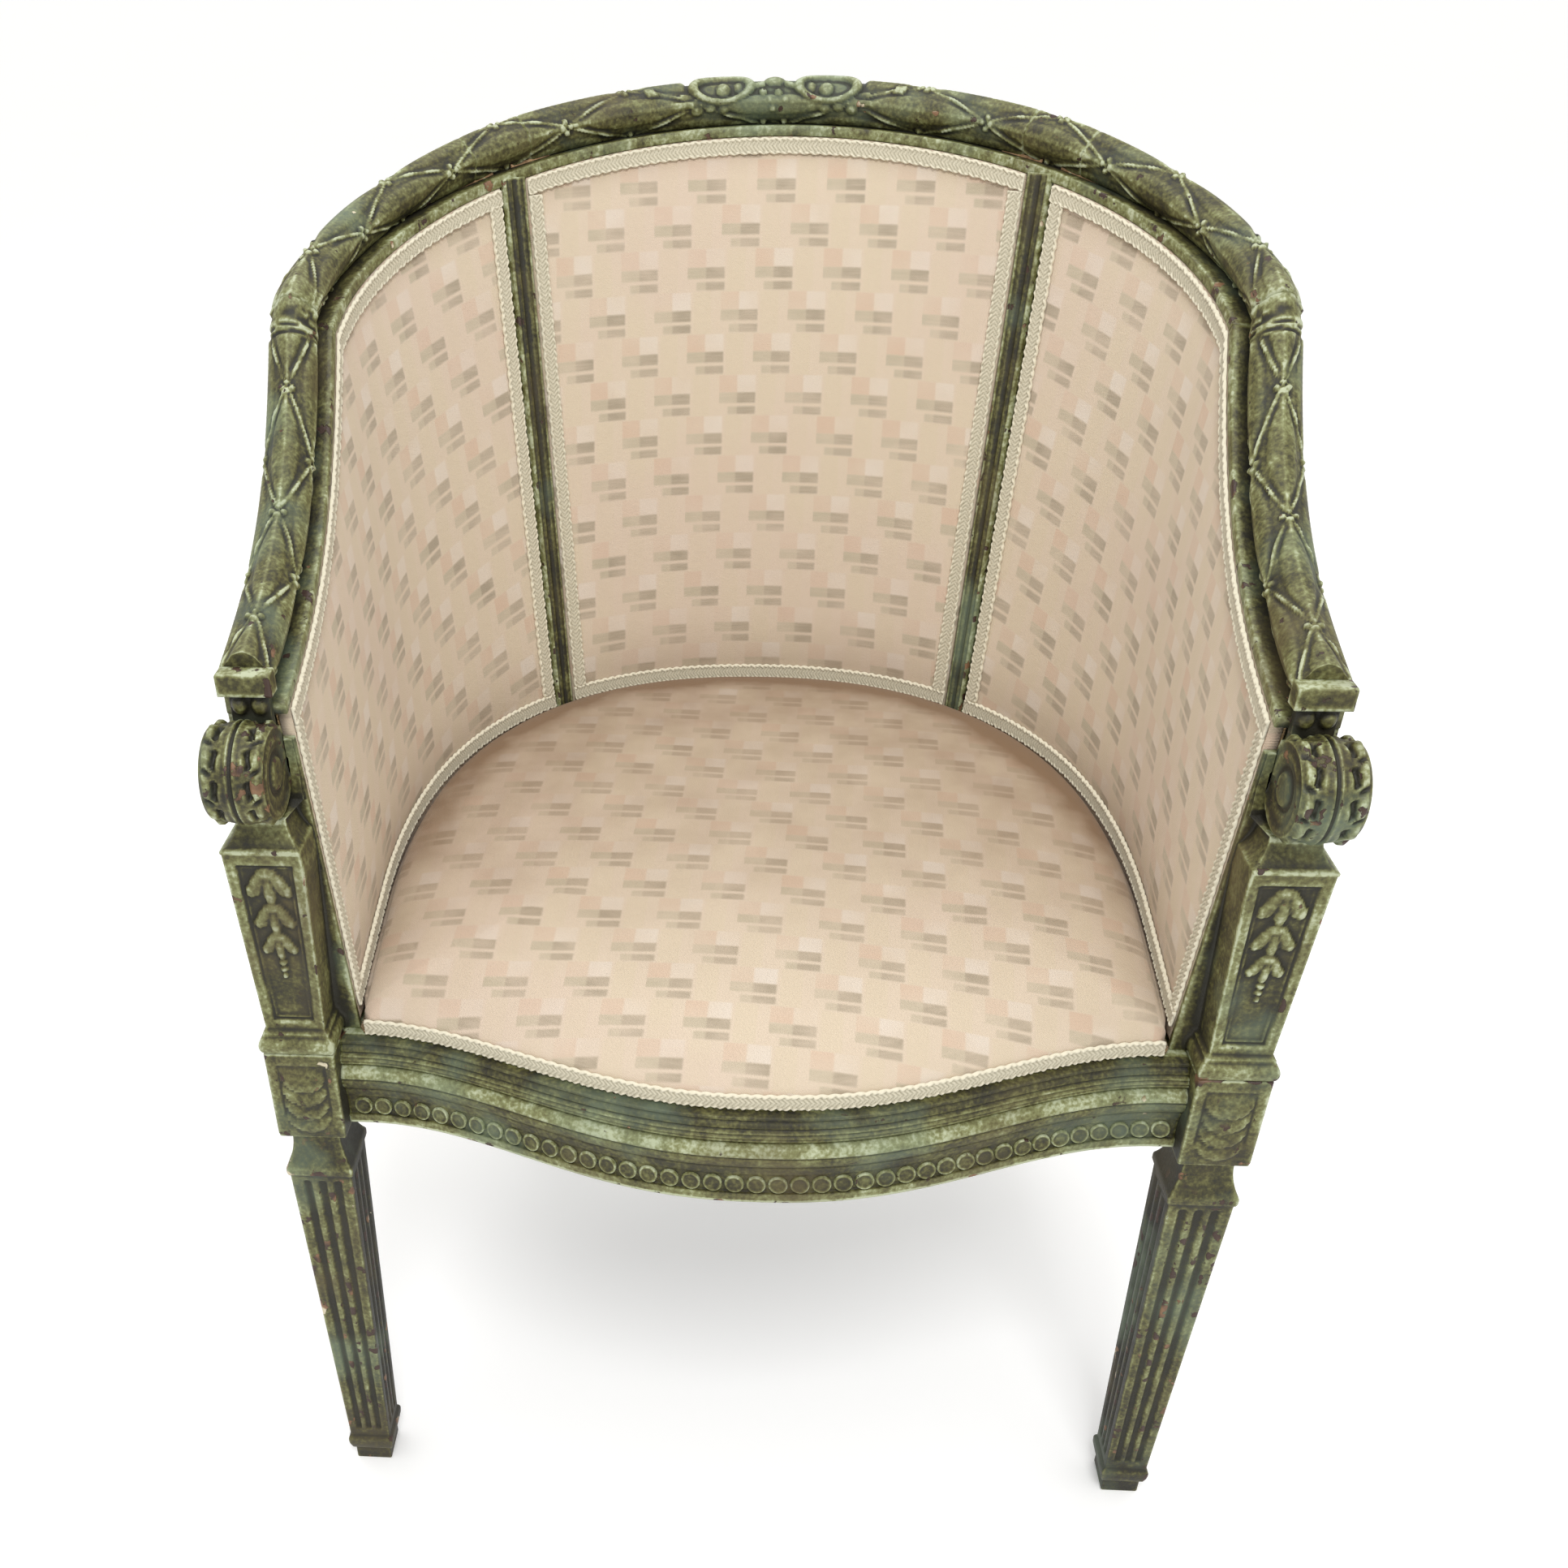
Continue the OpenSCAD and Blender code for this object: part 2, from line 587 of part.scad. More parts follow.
module crest_centre() {
  color(paint) placed() difference() {
    rail_run(centre_knots);
    side_dowels([8], fit_gap);
    left() side_dowels([8], fit_gap);
  }
}

// Back stiles
//
// Each one runs from the floor to the crest: a raked leg, a straight stretch where the seat
// rails are joined, a leaning stile with a grooved strip, and its own piece of the crest
function stile_ring(p, n, t, w, u_in, u_out, z) =
  [for (q = [[-w / 2, u_out], [w / 2, u_out], [w / 2, u_in], [-w / 2, u_in]])
    [p[0] + t[0] * q[0] + n[0] * q[1], p[1] + t[1] * q[0] + n[1] * q[1], z]];
function leg_ring(z) =
  let (k = 1 - z / rail_foot, back = rear_splay * pow(k, 1.6),
       w = mix(stile_w, rear_foot_w, k), deep = mix(rail_outer - frame_in, rear_foot_w, k),
       mid = -(rail_outer + frame_in) / 2,
       out = [stile_in[0] * -0.5, abs(stile_in[1])] / norm([stile_in[0] * -0.5, abs(stile_in[1])]))
  stile_ring(stile_foot_plan + out * back, stile_in, stile_along, w, mid + deep / 2, mid - deep / 2, z);
function strip_ring(p, n, t, w, z) =
  let (g = strip_groove / 2, h = w / 2, face = gimp_t, deep = gimp_t - strip_groove, back = -frame_in - over)
  [for (q = [[-h, back], [h, back], [h, face], [g, face], [g, deep], [-g, deep], [-g, face], [-h, face]])
    [p[0] + t[0] * q[0] + n[0] * q[1], p[1] + t[1] * q[0] + n[1] * q[1], z]];
strip_end = [[1, 2, 3, 4], [0, 1, 4, 5], [0, 5, 6, 7]];
module back_stile() {
  s = stile_share;
  levels = 5;
  // The flat outer face lies in a little from the curved wall, so that its corners stay inside it
  easing = stile_w * stile_w / seat_w / 3;
  head = top_z(s) + fillet_h / 2;
  difference() {
    union() {
      skin(concat(
        [for (j = [levels:-1:1]) let (z = mix(seat_top + soft_gap, head, j / levels))
          stile_ring(wall_plan(s, z), inward(s, z), along(s, z), stile_w, -frame_in, easing - wall_t(s, z), z)],
        [for (z = [seat_top + soft_gap])
          stile_ring(wall_plan(s, z), stile_in, stile_along, stile_w, -frame_in, easing - wall_t(s, z), z)],
        [for (z = [seat_top, rail_foot])
          stile_ring(stile_foot_plan, stile_in, stile_along, stile_w, -frame_in, -rail_outer, z)],
        [for (j = [1:6]) leg_ring(rail_foot * (1 - j / 6))]));
      skin([for (j = [levels:-1:0]) let (z = mix(canvas_foot + 2 * over, head - over, j / levels))
        strip_ring(wall_plan(s, z), inward(s, z), along(s, z), mix(strip_base_w, strip_top_w, j / levels), z)],
        first = strip_end, last = strip_end);
      rail_run([stile_in_share, stile_share, stile_out_share]);
    }
    side_dowels(stile_dowels, fit_gap);
  }
}
module back_stile_right() { color(paint) placed() back_stile(); }
module back_stile_left() { color(paint) placed() left() back_stile(); }

// Front seat rail
function bow(x) = 0.5 * (1 + cos(180 * pow(min(1, abs(x) / side_x), bow_squareness)));
function rail_face(x) = rail_setback - rail_bow * bow(x);
function seat_front(x) = rail_face(x) + front_profile_shares[0][0] * front_rail_t;
module seat_rail_front() {
  steps = 24;
  end_x = side_x + block_reveal;
  // The moulded end in pieces without hollows, each seen whole from its first corner
  end = [[1, 2, 3, 4, 5, 0], [0, 5, 6, 7, 8, 9, 10], [0, 10, 11, 12, 13, 14, 15, 16, 17], [20, 0, 17, 18, 19]];
  color(paint) placed() difference() {
    skin([for (i = [0:steps]) let (x = mix(-end_x, end_x, i / steps), y = rail_face(x)) concat(
      [[x, y + front_rail_t, rail_mid], [x, y + front_rail_t, seat_top]],
      [for (q = front_profile_shares) [x, y + q[0] * front_rail_t, rail_foot + q[1] * rail_h]],
      [[x, y + front_rail_t, rail_foot]])], first = end, last = end);
    side_dowels(front_rail_dowels, fit_gap);
    left() side_dowels(front_rail_dowels, fit_gap);
    corner_screw_set([1], fit_gap);
    left() corner_screw_set([1], fit_gap);
  }
}

// Curved seat rails
//
// Each ring lists the section from the middle of the inner face round by the top
bead = rail_h * 0.1;
function curved_rail_ring(p, n) =
  [for (q = [[-rail_outer + rail_t, rail_mid], [-rail_outer + rail_t, seat_top], [-rail_outer + bead / 2, seat_top],
             [-rail_outer - bead / 2, seat_top - bead / 2], [-rail_outer - bead / 2, seat_top - bead * 1.5],
             [-rail_outer, seat_top - bead * 2], [-rail_outer, rail_foot + bead * 1.2],
             [-rail_outer - bead / 3, rail_foot + bead], [-rail_outer - bead / 3, rail_foot],
             [-rail_outer + rail_t, rail_foot]])
    [p[0] + n[0] * q[0], p[1] + n[1] * q[0], q[1]]];
function stile_face(k) = stile_foot_plan + k * stile_along * stile_w / 2;
module curved_rail(ends, share_a, share_b, steps) {
  rings = concat(
    [curved_rail_ring(ends[0][0], ends[0][1])],
    [for (i = [1:steps - 1]) let (s = mix(share_a, share_b, i / steps))
      curved_rail_ring(seat_plan(s), inward(s, seat_top))],
    [curved_rail_ring(ends[1][0], ends[1][1])]);
  skin(rings);
}
base_half_share = stile_w / 2 / seat_run;
block_share = 1 - (block_w - arm_front_y) / seat_run;
module seat_rail() {
  difference() {
    curved_rail([[stile_face(1), stile_in], [[side_x, block_w], [-1, 0]]],
      stile_share + base_half_share, block_share, 10);
    side_dowels(side_rail_dowels, fit_gap);
    corner_screw_set([0], fit_gap);
  }
}
module seat_rail_right() { color(paint) placed() seat_rail(); }
module seat_rail_left() { color(paint) placed() left() seat_rail(); }
module seat_rail_back() {
  p = stile_face(-1);
  color(paint) placed() difference() {
    curved_rail([[[-p[0], p[1]], [-stile_in[0], stile_in[1]]], [p, stile_in]],
      -stile_share + base_half_share, stile_share - base_half_share, 12);
    side_dowels(back_rail_dowels, fit_gap);
    left() side_dowels(back_rail_dowels, fit_gap);
  }
}

// Tacking rails, which hold the feet of the panels on top of the seat rails
tacking_t = 17;
module tacking_rail(at) {
  skin([for (s = at)
    [for (q = [[-frame_in, seat_top], [-frame_in, seat_top + tacking_h],
               [-frame_in - tacking_t, seat_top + tacking_h], [-frame_in - tacking_t, seat_top]])
      wall(s, q[1], q[0])]]);
}
stile_side_share = (stile_w / 2 + over) / seat_run;
wing_share = 1 - (wing_d + soft_gap) / seat_run;
side_tacking_knots = concat([stile_share + stile_side_share],
  inner_knots(stile_share + stile_side_share, wing_share - near_share), [wing_share]);
back_tacking_knots = concat([-stile_share + stile_side_share],
  [for (s = centre_knots) if (abs(s) < stile_share - stile_side_share - near_share) s],
  [stile_share - stile_side_share]);
module tacking_rail_right() { color(bare_wood) placed() tacking_rail(side_tacking_knots); }
module tacking_rail_left() { color(bare_wood) placed() left() tacking_rail(side_tacking_knots); }
module tacking_rail_back() { color(bare_wood) placed() tacking_rail(back_tacking_knots); }

// Corner blocks and their screws
corner_h = rail_h * 0.6;
side_inner_x = side_x + rail_outer - rail_t;
corner_x = side_inner_x - soft_gap / 3;
corner_y = block_w + soft_gap / 3;
head_d = 2 * screw_d;
head_h = screw_d * 0.6;
corner_inset = corner_l * 0.45;
screw_l = corner_inset * 0.6 + rail_t * 0.55;
module corner_screw_set(picks, grow = 0) {
  for (turn = picks) {
    x = turn == 0 ? corner_x - corner_inset * 0.6 : corner_x - corner_inset;
    y = turn == 0 ? corner_y + corner_inset : corner_y + corner_inset * 0.6;
    z = rail_mid + (turn == 0 ? corner_h / 4 : -corner_h / 4);
    v = turn == 0 ? [1, 0, 0] : [0, -1, 0];
    head = grow > 0 ? corner_l : head_h;
    rod([x, y, z] - v * head, v, head, head_d + 2 * grow);
    rod([x, y, z], v, screw_l + grow, screw_d + 2 * grow);
  }
}
module corner_block() {
  difference() {
    translate([corner_x, corner_y, rail_mid - corner_h / 2])
      linear_extrude(corner_h)
        polygon([[0, 0], [0, corner_l], [-corner_l * 0.2, corner_l], [-corner_l, corner_l * 0.2], [-corner_l, 0]]);
    corner_screw_set([0, 1], fit_gap);
  }
}
module corner_block_right() { color(bare_wood) placed() corner_block(); }
module corner_block_left() { color(bare_wood) placed() left() corner_block(); }
module corner_screws() {
  color(steel) placed() {
    corner_screw_set([0, 1]);
    left() corner_screw_set([0, 1]);
  }
}

// Seat
//
// The outline runs from the middle of the back round one wall, along the front, and back up the other
wall_steps = 12;
front_steps = 14;
seat_gap = gimp_t + pad_crown * 0.4;
function edge_rise(s) =
  let (y = seat_plan(s)[1]) mix(seat_edge_front, seat_edge_back, 1 - pow(1 - y / (seat_d + over), 1.5));
function outline_side(places, inset, lift) =
  [for (s = places) let (z = seat_top + lift * edge_rise(s), p = wall_plan(s, z) + inset * inward(s, z))
    [p[0], p[1], lift * edge_rise(s)]];
function outline(inset, lift) = concat(
  outline_side(knots(0, 1, wall_steps), inset, lift),
  [for (i = [1:front_steps - 1]) let (x = mix(side_x - inset, -side_x + inset, i / front_steps),
    y = seat_front(x) + inset - seat_gap, k = bow(x))
    [x, y, lift * mix(seat_edge_front, edge_rise(1), (1 - k) * 0.5)]],
  outline_side([for (i = [0:wall_steps - 1]) i / wall_steps - 1], inset, lift));
seat_centre_y = seat_d * 0.48;
crown_shares = [[1, 0], [0.985, 0.2], [0.95, 0.42], [0.88, 0.62], [0.75, 0.8], [0.55, 0.93], [0.3, 0.99], [0.06, 1]];
least_k = crown_shares[len(crown_shares) - 1][0];
// One ring of the crown: the outline drawn in to a share of itself and lifted, level at the middle
function crown_ring(inset, base, lift, k, h) =
  [for (p = outline(inset, lift))
    [p[0] * k, mix(seat_centre_y, p[1], k),
     base + mix(mix(seat_edge_front, seat_edge_back, 0.65) * lift, p[2], pow((k - least_k) / (1 - least_k), 1.5)) + h]];
canvas_t = 1.2;
lining_inset = seat_gap + seat_cover_t + 2 * soft_gap;
module seat_cover() {
  foot = canvas_foot + canvas_t + soft_gap;
  outer = [for (k = [len(crown_shares) - 1:-1:0])
    crown_ring(seat_gap, seat_top, 1, crown_shares[k][0], seat_crown * crown_shares[k][1])];
  inner = [for (k = [0:len(crown_shares) - 1])
    crown_ring(seat_gap + seat_cover_t, seat_top - seat_cover_t, 1, crown_shares[k][0],
      seat_crown * crown_shares[k][1])];
  rim_out = [for (p = crown_ring(seat_gap, 0, 0, 1, 0)) [p[0], p[1], foot]];
  rim_in = [for (p = crown_ring(seat_gap + seat_cover_t, 0, 0, 1, 0)) [p[0], p[1], foot]];
  color(fabric) placed() skin(concat(outer, [rim_out, rim_in], inner));
}

// Height of the canvas over the springs at a share of the way out from the middle
canvas_rise = 15;
function canvas_lift(k) = canvas_rise * (1 - pow(k, 14));
canvas_shares = [0.06, 0.45, 0.75, 0.88, 0.95, 1];
function canvas_ring(z, k) =
  [for (p = crown_ring(lining_inset, 0, 0, k, 0)) [p[0], p[1], canvas_foot + z + canvas_lift(k)]];
module spring_canvas() {
  n = len(canvas_shares);
  color(jute) placed() skin(concat(
    [for (i = [0:n - 1]) canvas_ring(canvas_t, canvas_shares[i])],
    [for (z = [canvas_t, 0]) [for (p = outline(soft_gap, 0)) [p[0], max(p[1], seat_front(p[0]) + soft_gap), canvas_foot + z]]],
    [for (i = [n - 1:-1:0]) canvas_ring(0, canvas_shares[i])]));
}
module seat_stuffing() {
  n = len(canvas_shares);
  drop = seat_cover_t + 2 * soft_gap;
  color(jute) placed() skin(concat(
    [for (k = [len(crown_shares) - 1:-1:0])
      crown_ring(lining_inset, seat_top - drop, 1, crown_shares[k][0], seat_crown * crown_shares[k][1])],
    [for (i = [n - 1:-1:0]) canvas_ring(canvas_t + soft_gap, canvas_shares[i])]));
}

// Springs stand on the webbing and carry the canvas, with flat turns at both ends
spring_foot = rail_foot + soft_gap + spring_wire / 2;
spring_top = canvas_foot + canvas_rise * 0.9 - spring_wire / 2;
flat_turn_share = 0.13;
spring_turns = 5;
spring_sides = 6;
turn_rings = 8;
spring_places_shares = [[-0.3, 0.28], [0, 0.24], [0.3, 0.28], [-0.3, 0.52], [0, 0.5], [0.3, 0.52], [-0.17, 0.76],
  [0.17, 0.76]];
function spring_point(t) =
  let (a = 360 * spring_turns * t, r = mix(spring_waist_r, spring_r, pow(abs(2 * t - 1), 2)),
       rise = max(0, min(1, (t - flat_turn_share) / (1 - 2 * flat_turn_share))))
  [r * cos(a), r * sin(a), mix(spring_foot, spring_top, rise)];
spring_rings = spring_turns * turn_rings;
module spring() {
  skin([for (i = [spring_rings:-1:0])
    let (t = i / spring_rings, p = spring_point(t), a = 360 * spring_turns * t, r = spring_wire / 2)
    [for (j = [0:spring_sides - 1]) let (b = 360 * j / spring_sides)
      p + [r * cos(b) * cos(a), r * cos(b) * sin(a), r * sin(b)]]]);
}
spring_gap = min([for (i = [0:spring_rings - turn_rings])
  norm(spring_point((i + turn_rings) / spring_rings) - spring_point(i / spring_rings)) - spring_wire]);
echo(least_gap_between_spring_turns = spring_gap);
module seat_springs() {
  color(steel) placed()
    for (q = spring_places_shares) translate([q[0] * seat_w, q[1] * seat_d, 0]) spring();
}

// Webbing straps, nailed under the rails, with the cross straps lying below the long ones
module seat_webbing() {
  reach_x = side_inner_x + rail_t * 0.5;
  strap_z = rail_foot - web_t;
  color(jute) placed() {
    for (i = [-2:2]) {
      x = i * seat_w * 0.15;
      back_y = wall_plan_y(x) + rail_outer - rail_t * 0.5;
      translate([x - web_w / 2, rail_face(x) + front_rail_t * 0.45, strap_z])
        cube([web_w, back_y - rail_face(x) - front_rail_t * 0.45, web_t]);
    }
    for (i = [0:2]) {
      y = mix(block_w + web_w, seat_d * 0.68, i / 2) + web_w * 0.1;
      half = min(reach_x, wall_plan_x(y + web_w / 2) + rail_outer - rail_t * 0.4);
      translate([-half, y - web_w / 2, strap_z - web_t]) cube([2 * half, web_w, web_t]);
    }
  }
}
function wall_plan_y(x) =
  side_straight + (seat_d - side_straight) *
    pow(1 - pow(min(1, (abs(x) + web_w / 2) / side_x), seat_squareness), 1 / seat_squareness);
function wall_plan_x(y) =
  side_x * pow(1 - pow(max(0, y - side_straight) / (seat_d - side_straight), seat_squareness), 1 / seat_squareness);

// Dust cloth that closes the underside
module dust_cloth() {
  z = rail_foot - 2 * web_t - hessian_t - soft_gap;
  color([0.16, 0.15, 0.14]) placed()
    translate([0, 0, z]) linear_extrude(hessian_t)
      polygon([for (p = outline(soft_gap, 0)) [p[0], p[1] + over]]);
}

// Panels
//
// Shares of the run where the soft panels start and end
strip_share = max(strip_top_w / 2 / top_run, strip_base_w / 2 / seat_run) + soft_gap / seat_run;
panel_start = stile_share + strip_share;
panel_end = 1 - (wing_lip + 2 * soft_gap) / seat_run;
side_at = concat([panel_start], inner_knots(panel_start, panel_end), [panel_end]);
back_at = concat([-stile_share + strip_share], centre_knots, [stile_share - strip_share]);
pad_levels = 7;
pad_foot = seat_top + foot_gap;
gimp_low = function (s) seat_top + edge_rise(s) + over;
gimp_high = function (s) top_z(s) - soft_gap;
pad_heights = function (s)
  let (low = gimp_low(s) + gimp_w, high = gimp_high(s) - gimp_w)
  concat([pad_foot, gimp_low(s)], [for (j = [0:pad_levels]) mix(low, high, j / pad_levels)], [gimp_high(s)]);
pad_back = function (s, z) -pad_t;
pad_edge = -soft_gap;
function swell(i, n) = sin(180 * max(0, min(1, (i - 1) / (n - 2))));
pad_face = function (s, z, i, n, j)
  pad_edge + pad_crown * pow(swell(i, n) * sin(180 * max(0, min(1, (j - 2) / pad_levels))), 0.6);
module back_pad() { color(fabric) placed() wall_slab(back_at, pad_heights, pad_back, pad_face); }
module side_pad() { wall_slab(side_at, pad_heights, pad_back, pad_face); }
module side_pad_right() { color(fabric) placed() side_pad(); }
module side_pad_left() { color(fabric) placed() left() side_pad(); }

hessian_heights = function (s) [for (t = [0:3]) mix(pad_foot, gimp_high(s), t / 3)];
hessian_back = function (s, z) -pad_t - 2 * soft_gap - hessian_t;
hessian_face = function (s, z, i, n, j) -pad_t - 2 * soft_gap;
module back_hessian() { color(jute) placed() wall_slab(back_at, hessian_heights, hessian_back, hessian_face); }
module side_hessian() { wall_slab(side_at, hessian_heights, hessian_back, hessian_face); }
module side_hessian_right() { color(jute) placed() side_hessian(); }
module side_hessian_left() { color(jute) placed() left() side_hessian(); }

// Outer covers lie on the outside of the frame, from the seat rails to the crest
cover_end = 1 - (wing_d + soft_gap + over) / seat_run;
cover_start = stile_share + soft_gap / top_run;
side_cover_at = concat([cover_start], inner_knots(cover_start, cover_end - near_share), [cover_end]);
back_cover_at = concat([-stile_share], centre_knots, [stile_share]);
cover_heights = function (s) [for (t = [0:3]) mix(seat_top + soft_gap, gimp_high(s), t / 3)];
cover_low = function (s) seat_top + soft_gap;
cover_back = function (s, z) -wall_t(s, z) - soft_gap;
cover_face = function (s, z, i, n, j) -wall_t(s, z) - soft_gap - cover_t;
module outer_back_cover() {
  color(fabric) placed() wall_slab(back_cover_at, cover_heights, cover_back, cover_face);
}
module outer_side_cover() { wall_slab(side_cover_at, cover_heights, cover_back, cover_face); }
module outer_side_cover_right() { color(fabric) placed() outer_side_cover(); }
module outer_side_cover_left() { color(fabric) placed() left() outer_side_cover(); }

// Gimp braids
gimp_seat = function (s, z) soft_gap;
module gimp_back() { color(braid) placed() wall_braid(back_at, gimp_low, gimp_high, gimp_seat, gimp_t); }
module gimp_side() { wall_braid(side_at, gimp_low, gimp_high, gimp_seat, gimp_t); }
module gimp_side_right() { color(braid) placed() gimp_side(); }
module gimp_side_left() { color(braid) placed() left() gimp_side(); }

outer_gimp_seat = function (s, z) -wall_t(s, z) - 2 * soft_gap - cover_t;
module outer_gimp_back() {
  color(braid) placed() wall_braid(back_cover_at, cover_low, gimp_high, outer_gimp_seat, -gimp_t / 2);
}
module outer_gimp() { wall_braid(side_cover_at, cover_low, gimp_high, outer_gimp_seat, -gimp_t / 2); }
module outer_gimp_right() { color(braid) placed() outer_gimp(); }
module outer_gimp_left() { color(braid) placed() left() outer_gimp(); }

module gimp_seat_front() {
  end_x = side_x - seat_gap;
  top = seat_top + soft_gap + gimp_w;
  color(braid) placed() skin([for (i = [0:front_steps])
    let (x = mix(end_x, -end_x, i / front_steps), y = seat_front(x) - soft_gap)
    [[x, y, seat_top + soft_gap], [x, y, top], [x, y - gimp_t, top], [x, y - gimp_t, seat_top + soft_gap]]]);
}

front_leg_left();
front_leg_right();
arm_post_left();
arm_post_right();
arm_scroll_left();
arm_scroll_right();
arm_rail_left();
arm_rail_right();
crest_side_left();
crest_side_right();
crest_centre();
back_stile_left();
back_stile_right();
seat_rail_front();
seat_rail_left();
seat_rail_right();
seat_rail_back();
tacking_rail_left();
tacking_rail_right();
tacking_rail_back();
corner_block_left();
corner_block_right();
corner_screws();
frame_dowels();
seat_webbing();
seat_springs();
spring_canvas();
seat_stuffing();
seat_cover();
dust_cloth();
back_pad();
side_pad_left();
side_pad_right();
back_hessian();
side_hessian_left();
side_hessian_right();
outer_back_cover();
outer_side_cover_left();
outer_side_cover_right();
gimp_back();
gimp_side_left();
gimp_side_right();
gimp_seat_front();
outer_gimp_back();
outer_gimp_left();
outer_gimp_right();
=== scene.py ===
"""Looks of the tub-shaped bergere armchair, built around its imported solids.

Sizes are millimetres in the chair's own drawing, where Y = 0 is the front plane of the leg blocks.
They become metres in the shared frame when a mesh is made.
"""

import logging
import math
from collections.abc import Callable, Sequence
from dataclasses import dataclass, field
from enum import Enum

import bpy
import numpy as np
from mathutils import Matrix, Vector

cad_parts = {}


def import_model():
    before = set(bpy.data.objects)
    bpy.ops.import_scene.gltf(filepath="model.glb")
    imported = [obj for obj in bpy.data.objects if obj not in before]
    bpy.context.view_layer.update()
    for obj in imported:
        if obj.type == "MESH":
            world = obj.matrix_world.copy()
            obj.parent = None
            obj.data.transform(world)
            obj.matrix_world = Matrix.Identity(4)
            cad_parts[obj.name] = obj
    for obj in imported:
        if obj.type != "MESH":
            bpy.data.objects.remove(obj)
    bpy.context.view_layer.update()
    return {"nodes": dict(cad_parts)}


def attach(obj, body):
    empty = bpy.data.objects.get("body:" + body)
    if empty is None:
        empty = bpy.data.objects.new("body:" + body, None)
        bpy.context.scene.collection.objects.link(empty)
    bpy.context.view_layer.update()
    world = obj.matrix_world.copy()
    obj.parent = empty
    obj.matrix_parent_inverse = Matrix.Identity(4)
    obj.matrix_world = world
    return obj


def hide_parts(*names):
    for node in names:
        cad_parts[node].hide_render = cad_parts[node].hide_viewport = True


LOG = logging.getLogger("bergere")
MM = 0.001
DEPTH_CENTRE = 240.7525
BODY = "root"
STRIP_HALF = 8.55
PAD_LIP = 4.6
POST_WING = 19.3
COVER_GAP = 0.3
Colour = tuple[float, float, float, float]
Array = np.ndarray
Places = tuple[tuple[float, ...], ...]


def linear(red: int, green: int, blue: int) -> Colour:
    """Turn a colour as seen on a screen, 0 to 255, into the linear values of a shader."""
    out = [((c / 255 + 0.055) / 1.055) ** 2.4 if c > 10 else c / 255 / 12.92 for c in (red, green, blue)]
    return (out[0], out[1], out[2], 1.0)


def mix(a: Array | float, b: Array | float, t: Array | float) -> Array | float:
    """Blend a into b by t."""
    return a + (b - a) * t


def smooth(value: Array, low: float, high: float) -> Array:
    """Step from 0 to 1 between two bounds, with soft ends."""
    t = np.clip((value - low) / (high - low), 0, 1)
    return t * t * (3 - 2 * t)


def dome(distance: Array, radius: float) -> Array:
    """Height of a round bump, 1 at its middle and 0 from its radius on."""
    return np.sqrt(np.clip(1 - (distance / radius) ** 2, 0, 1))


def bell(distance: Array, width: Array | float) -> Array:
    """Height of a soft bump, 1 at its middle and near 0 from twice its width on."""
    return np.exp(-((distance / width) ** 2))


def turned(x: Array, y: Array, degrees: float, phase: float) -> Array:
    """Turn places on the cloth, and move them up by a phase."""
    c, s = math.cos(math.radians(degrees)), math.sin(math.radians(degrees))
    return np.stack([x * c - y * s, x * s + y * c + phase], -1)


def face_area(points: Array) -> float:
    """Add up the faces of a grid, in its own units.

    Args:
        points: Rows by columns by 3.

    Returns:
        The area.
    """
    first = np.cross(points[1:, :-1] - points[:-1, :-1], points[:-1, 1:] - points[:-1, :-1])
    second = np.cross(points[:-1, 1:] - points[1:, 1:], points[1:, :-1] - points[1:, 1:])
    return float((np.linalg.norm(first, axis=2) + np.linalg.norm(second, axis=2)).sum() / 2)


def run_up(lengths: Array) -> Array:
    """Length gone by at each point of a line, from the lengths between them."""
    return np.concatenate([[0], np.cumsum(lengths)])


def unit(vectors: Array) -> Array:
    """Bring vectors to length 1."""
    return vectors / np.linalg.norm(vectors, axis=-1, keepdims=True)


def steps(low: float, high: float, pitch: float) -> Array:
    """Places from low to high, about a pitch apart."""
    return np.linspace(low, high, max(2, int(round(abs(high - low) / pitch)) + 1))


# Shaders


class Wire:
    """A number that flows between nodes and can be used in Python expressions."""

    def __init__(self, shop: "Shop", socket: bpy.types.NodeSocket) -> None:
        """Wrap one output socket of a material."""
        self.shop = shop
        self.socket = socket

    def __add__(self, other: "Wire | float") -> "Wire":
        """Add."""
        return self.shop.math("ADD", self, other)

    def __radd__(self, other: float) -> "Wire":
        """Add, reflected."""
        return self.shop.math("ADD", other, self)

    def __sub__(self, other: "Wire | float") -> "Wire":
        """Subtract."""
        return self.shop.math("SUBTRACT", self, other)

    def __rsub__(self, other: float) -> "Wire":
        """Subtract, reflected."""
        return self.shop.math("SUBTRACT", other, self)

    def __mul__(self, other: "Wire | float") -> "Wire":
        """Multiply."""
        return self.shop.math("MULTIPLY", self, other)

    def __rmul__(self, other: float) -> "Wire":
        """Multiply, reflected."""
        return self.shop.math("MULTIPLY", other, self)

    def __truediv__(self, other: "Wire | float") -> "Wire":
        """Divide."""
        return self.shop.math("DIVIDE", self, other)

    def __rtruediv__(self, other: float) -> "Wire":
        """Divide, reflected."""
        return self.shop.math("DIVIDE", other, self)

    def step(self, low: float, high: float) -> "Wire":
        """Go from 0 at low to 1 at high; low may be above high."""
        return self.shop.math("MULTIPLY", self - low, 1 / (high - low), clamp=True)

    def fraction(self) -> "Wire":
        """Keep what follows the decimal point."""
        return self.shop.math("FRACT", self)

    def floor(self) -> "Wire":
        """Round down."""
        return self.shop.math("FLOOR", self)

    def sine(self) -> "Wire":
        """Take the sine of an angle in radians."""
        return self.shop.math("SINE", self)


Value = Wire | bpy.types.NodeSocket | float | Sequence[float]


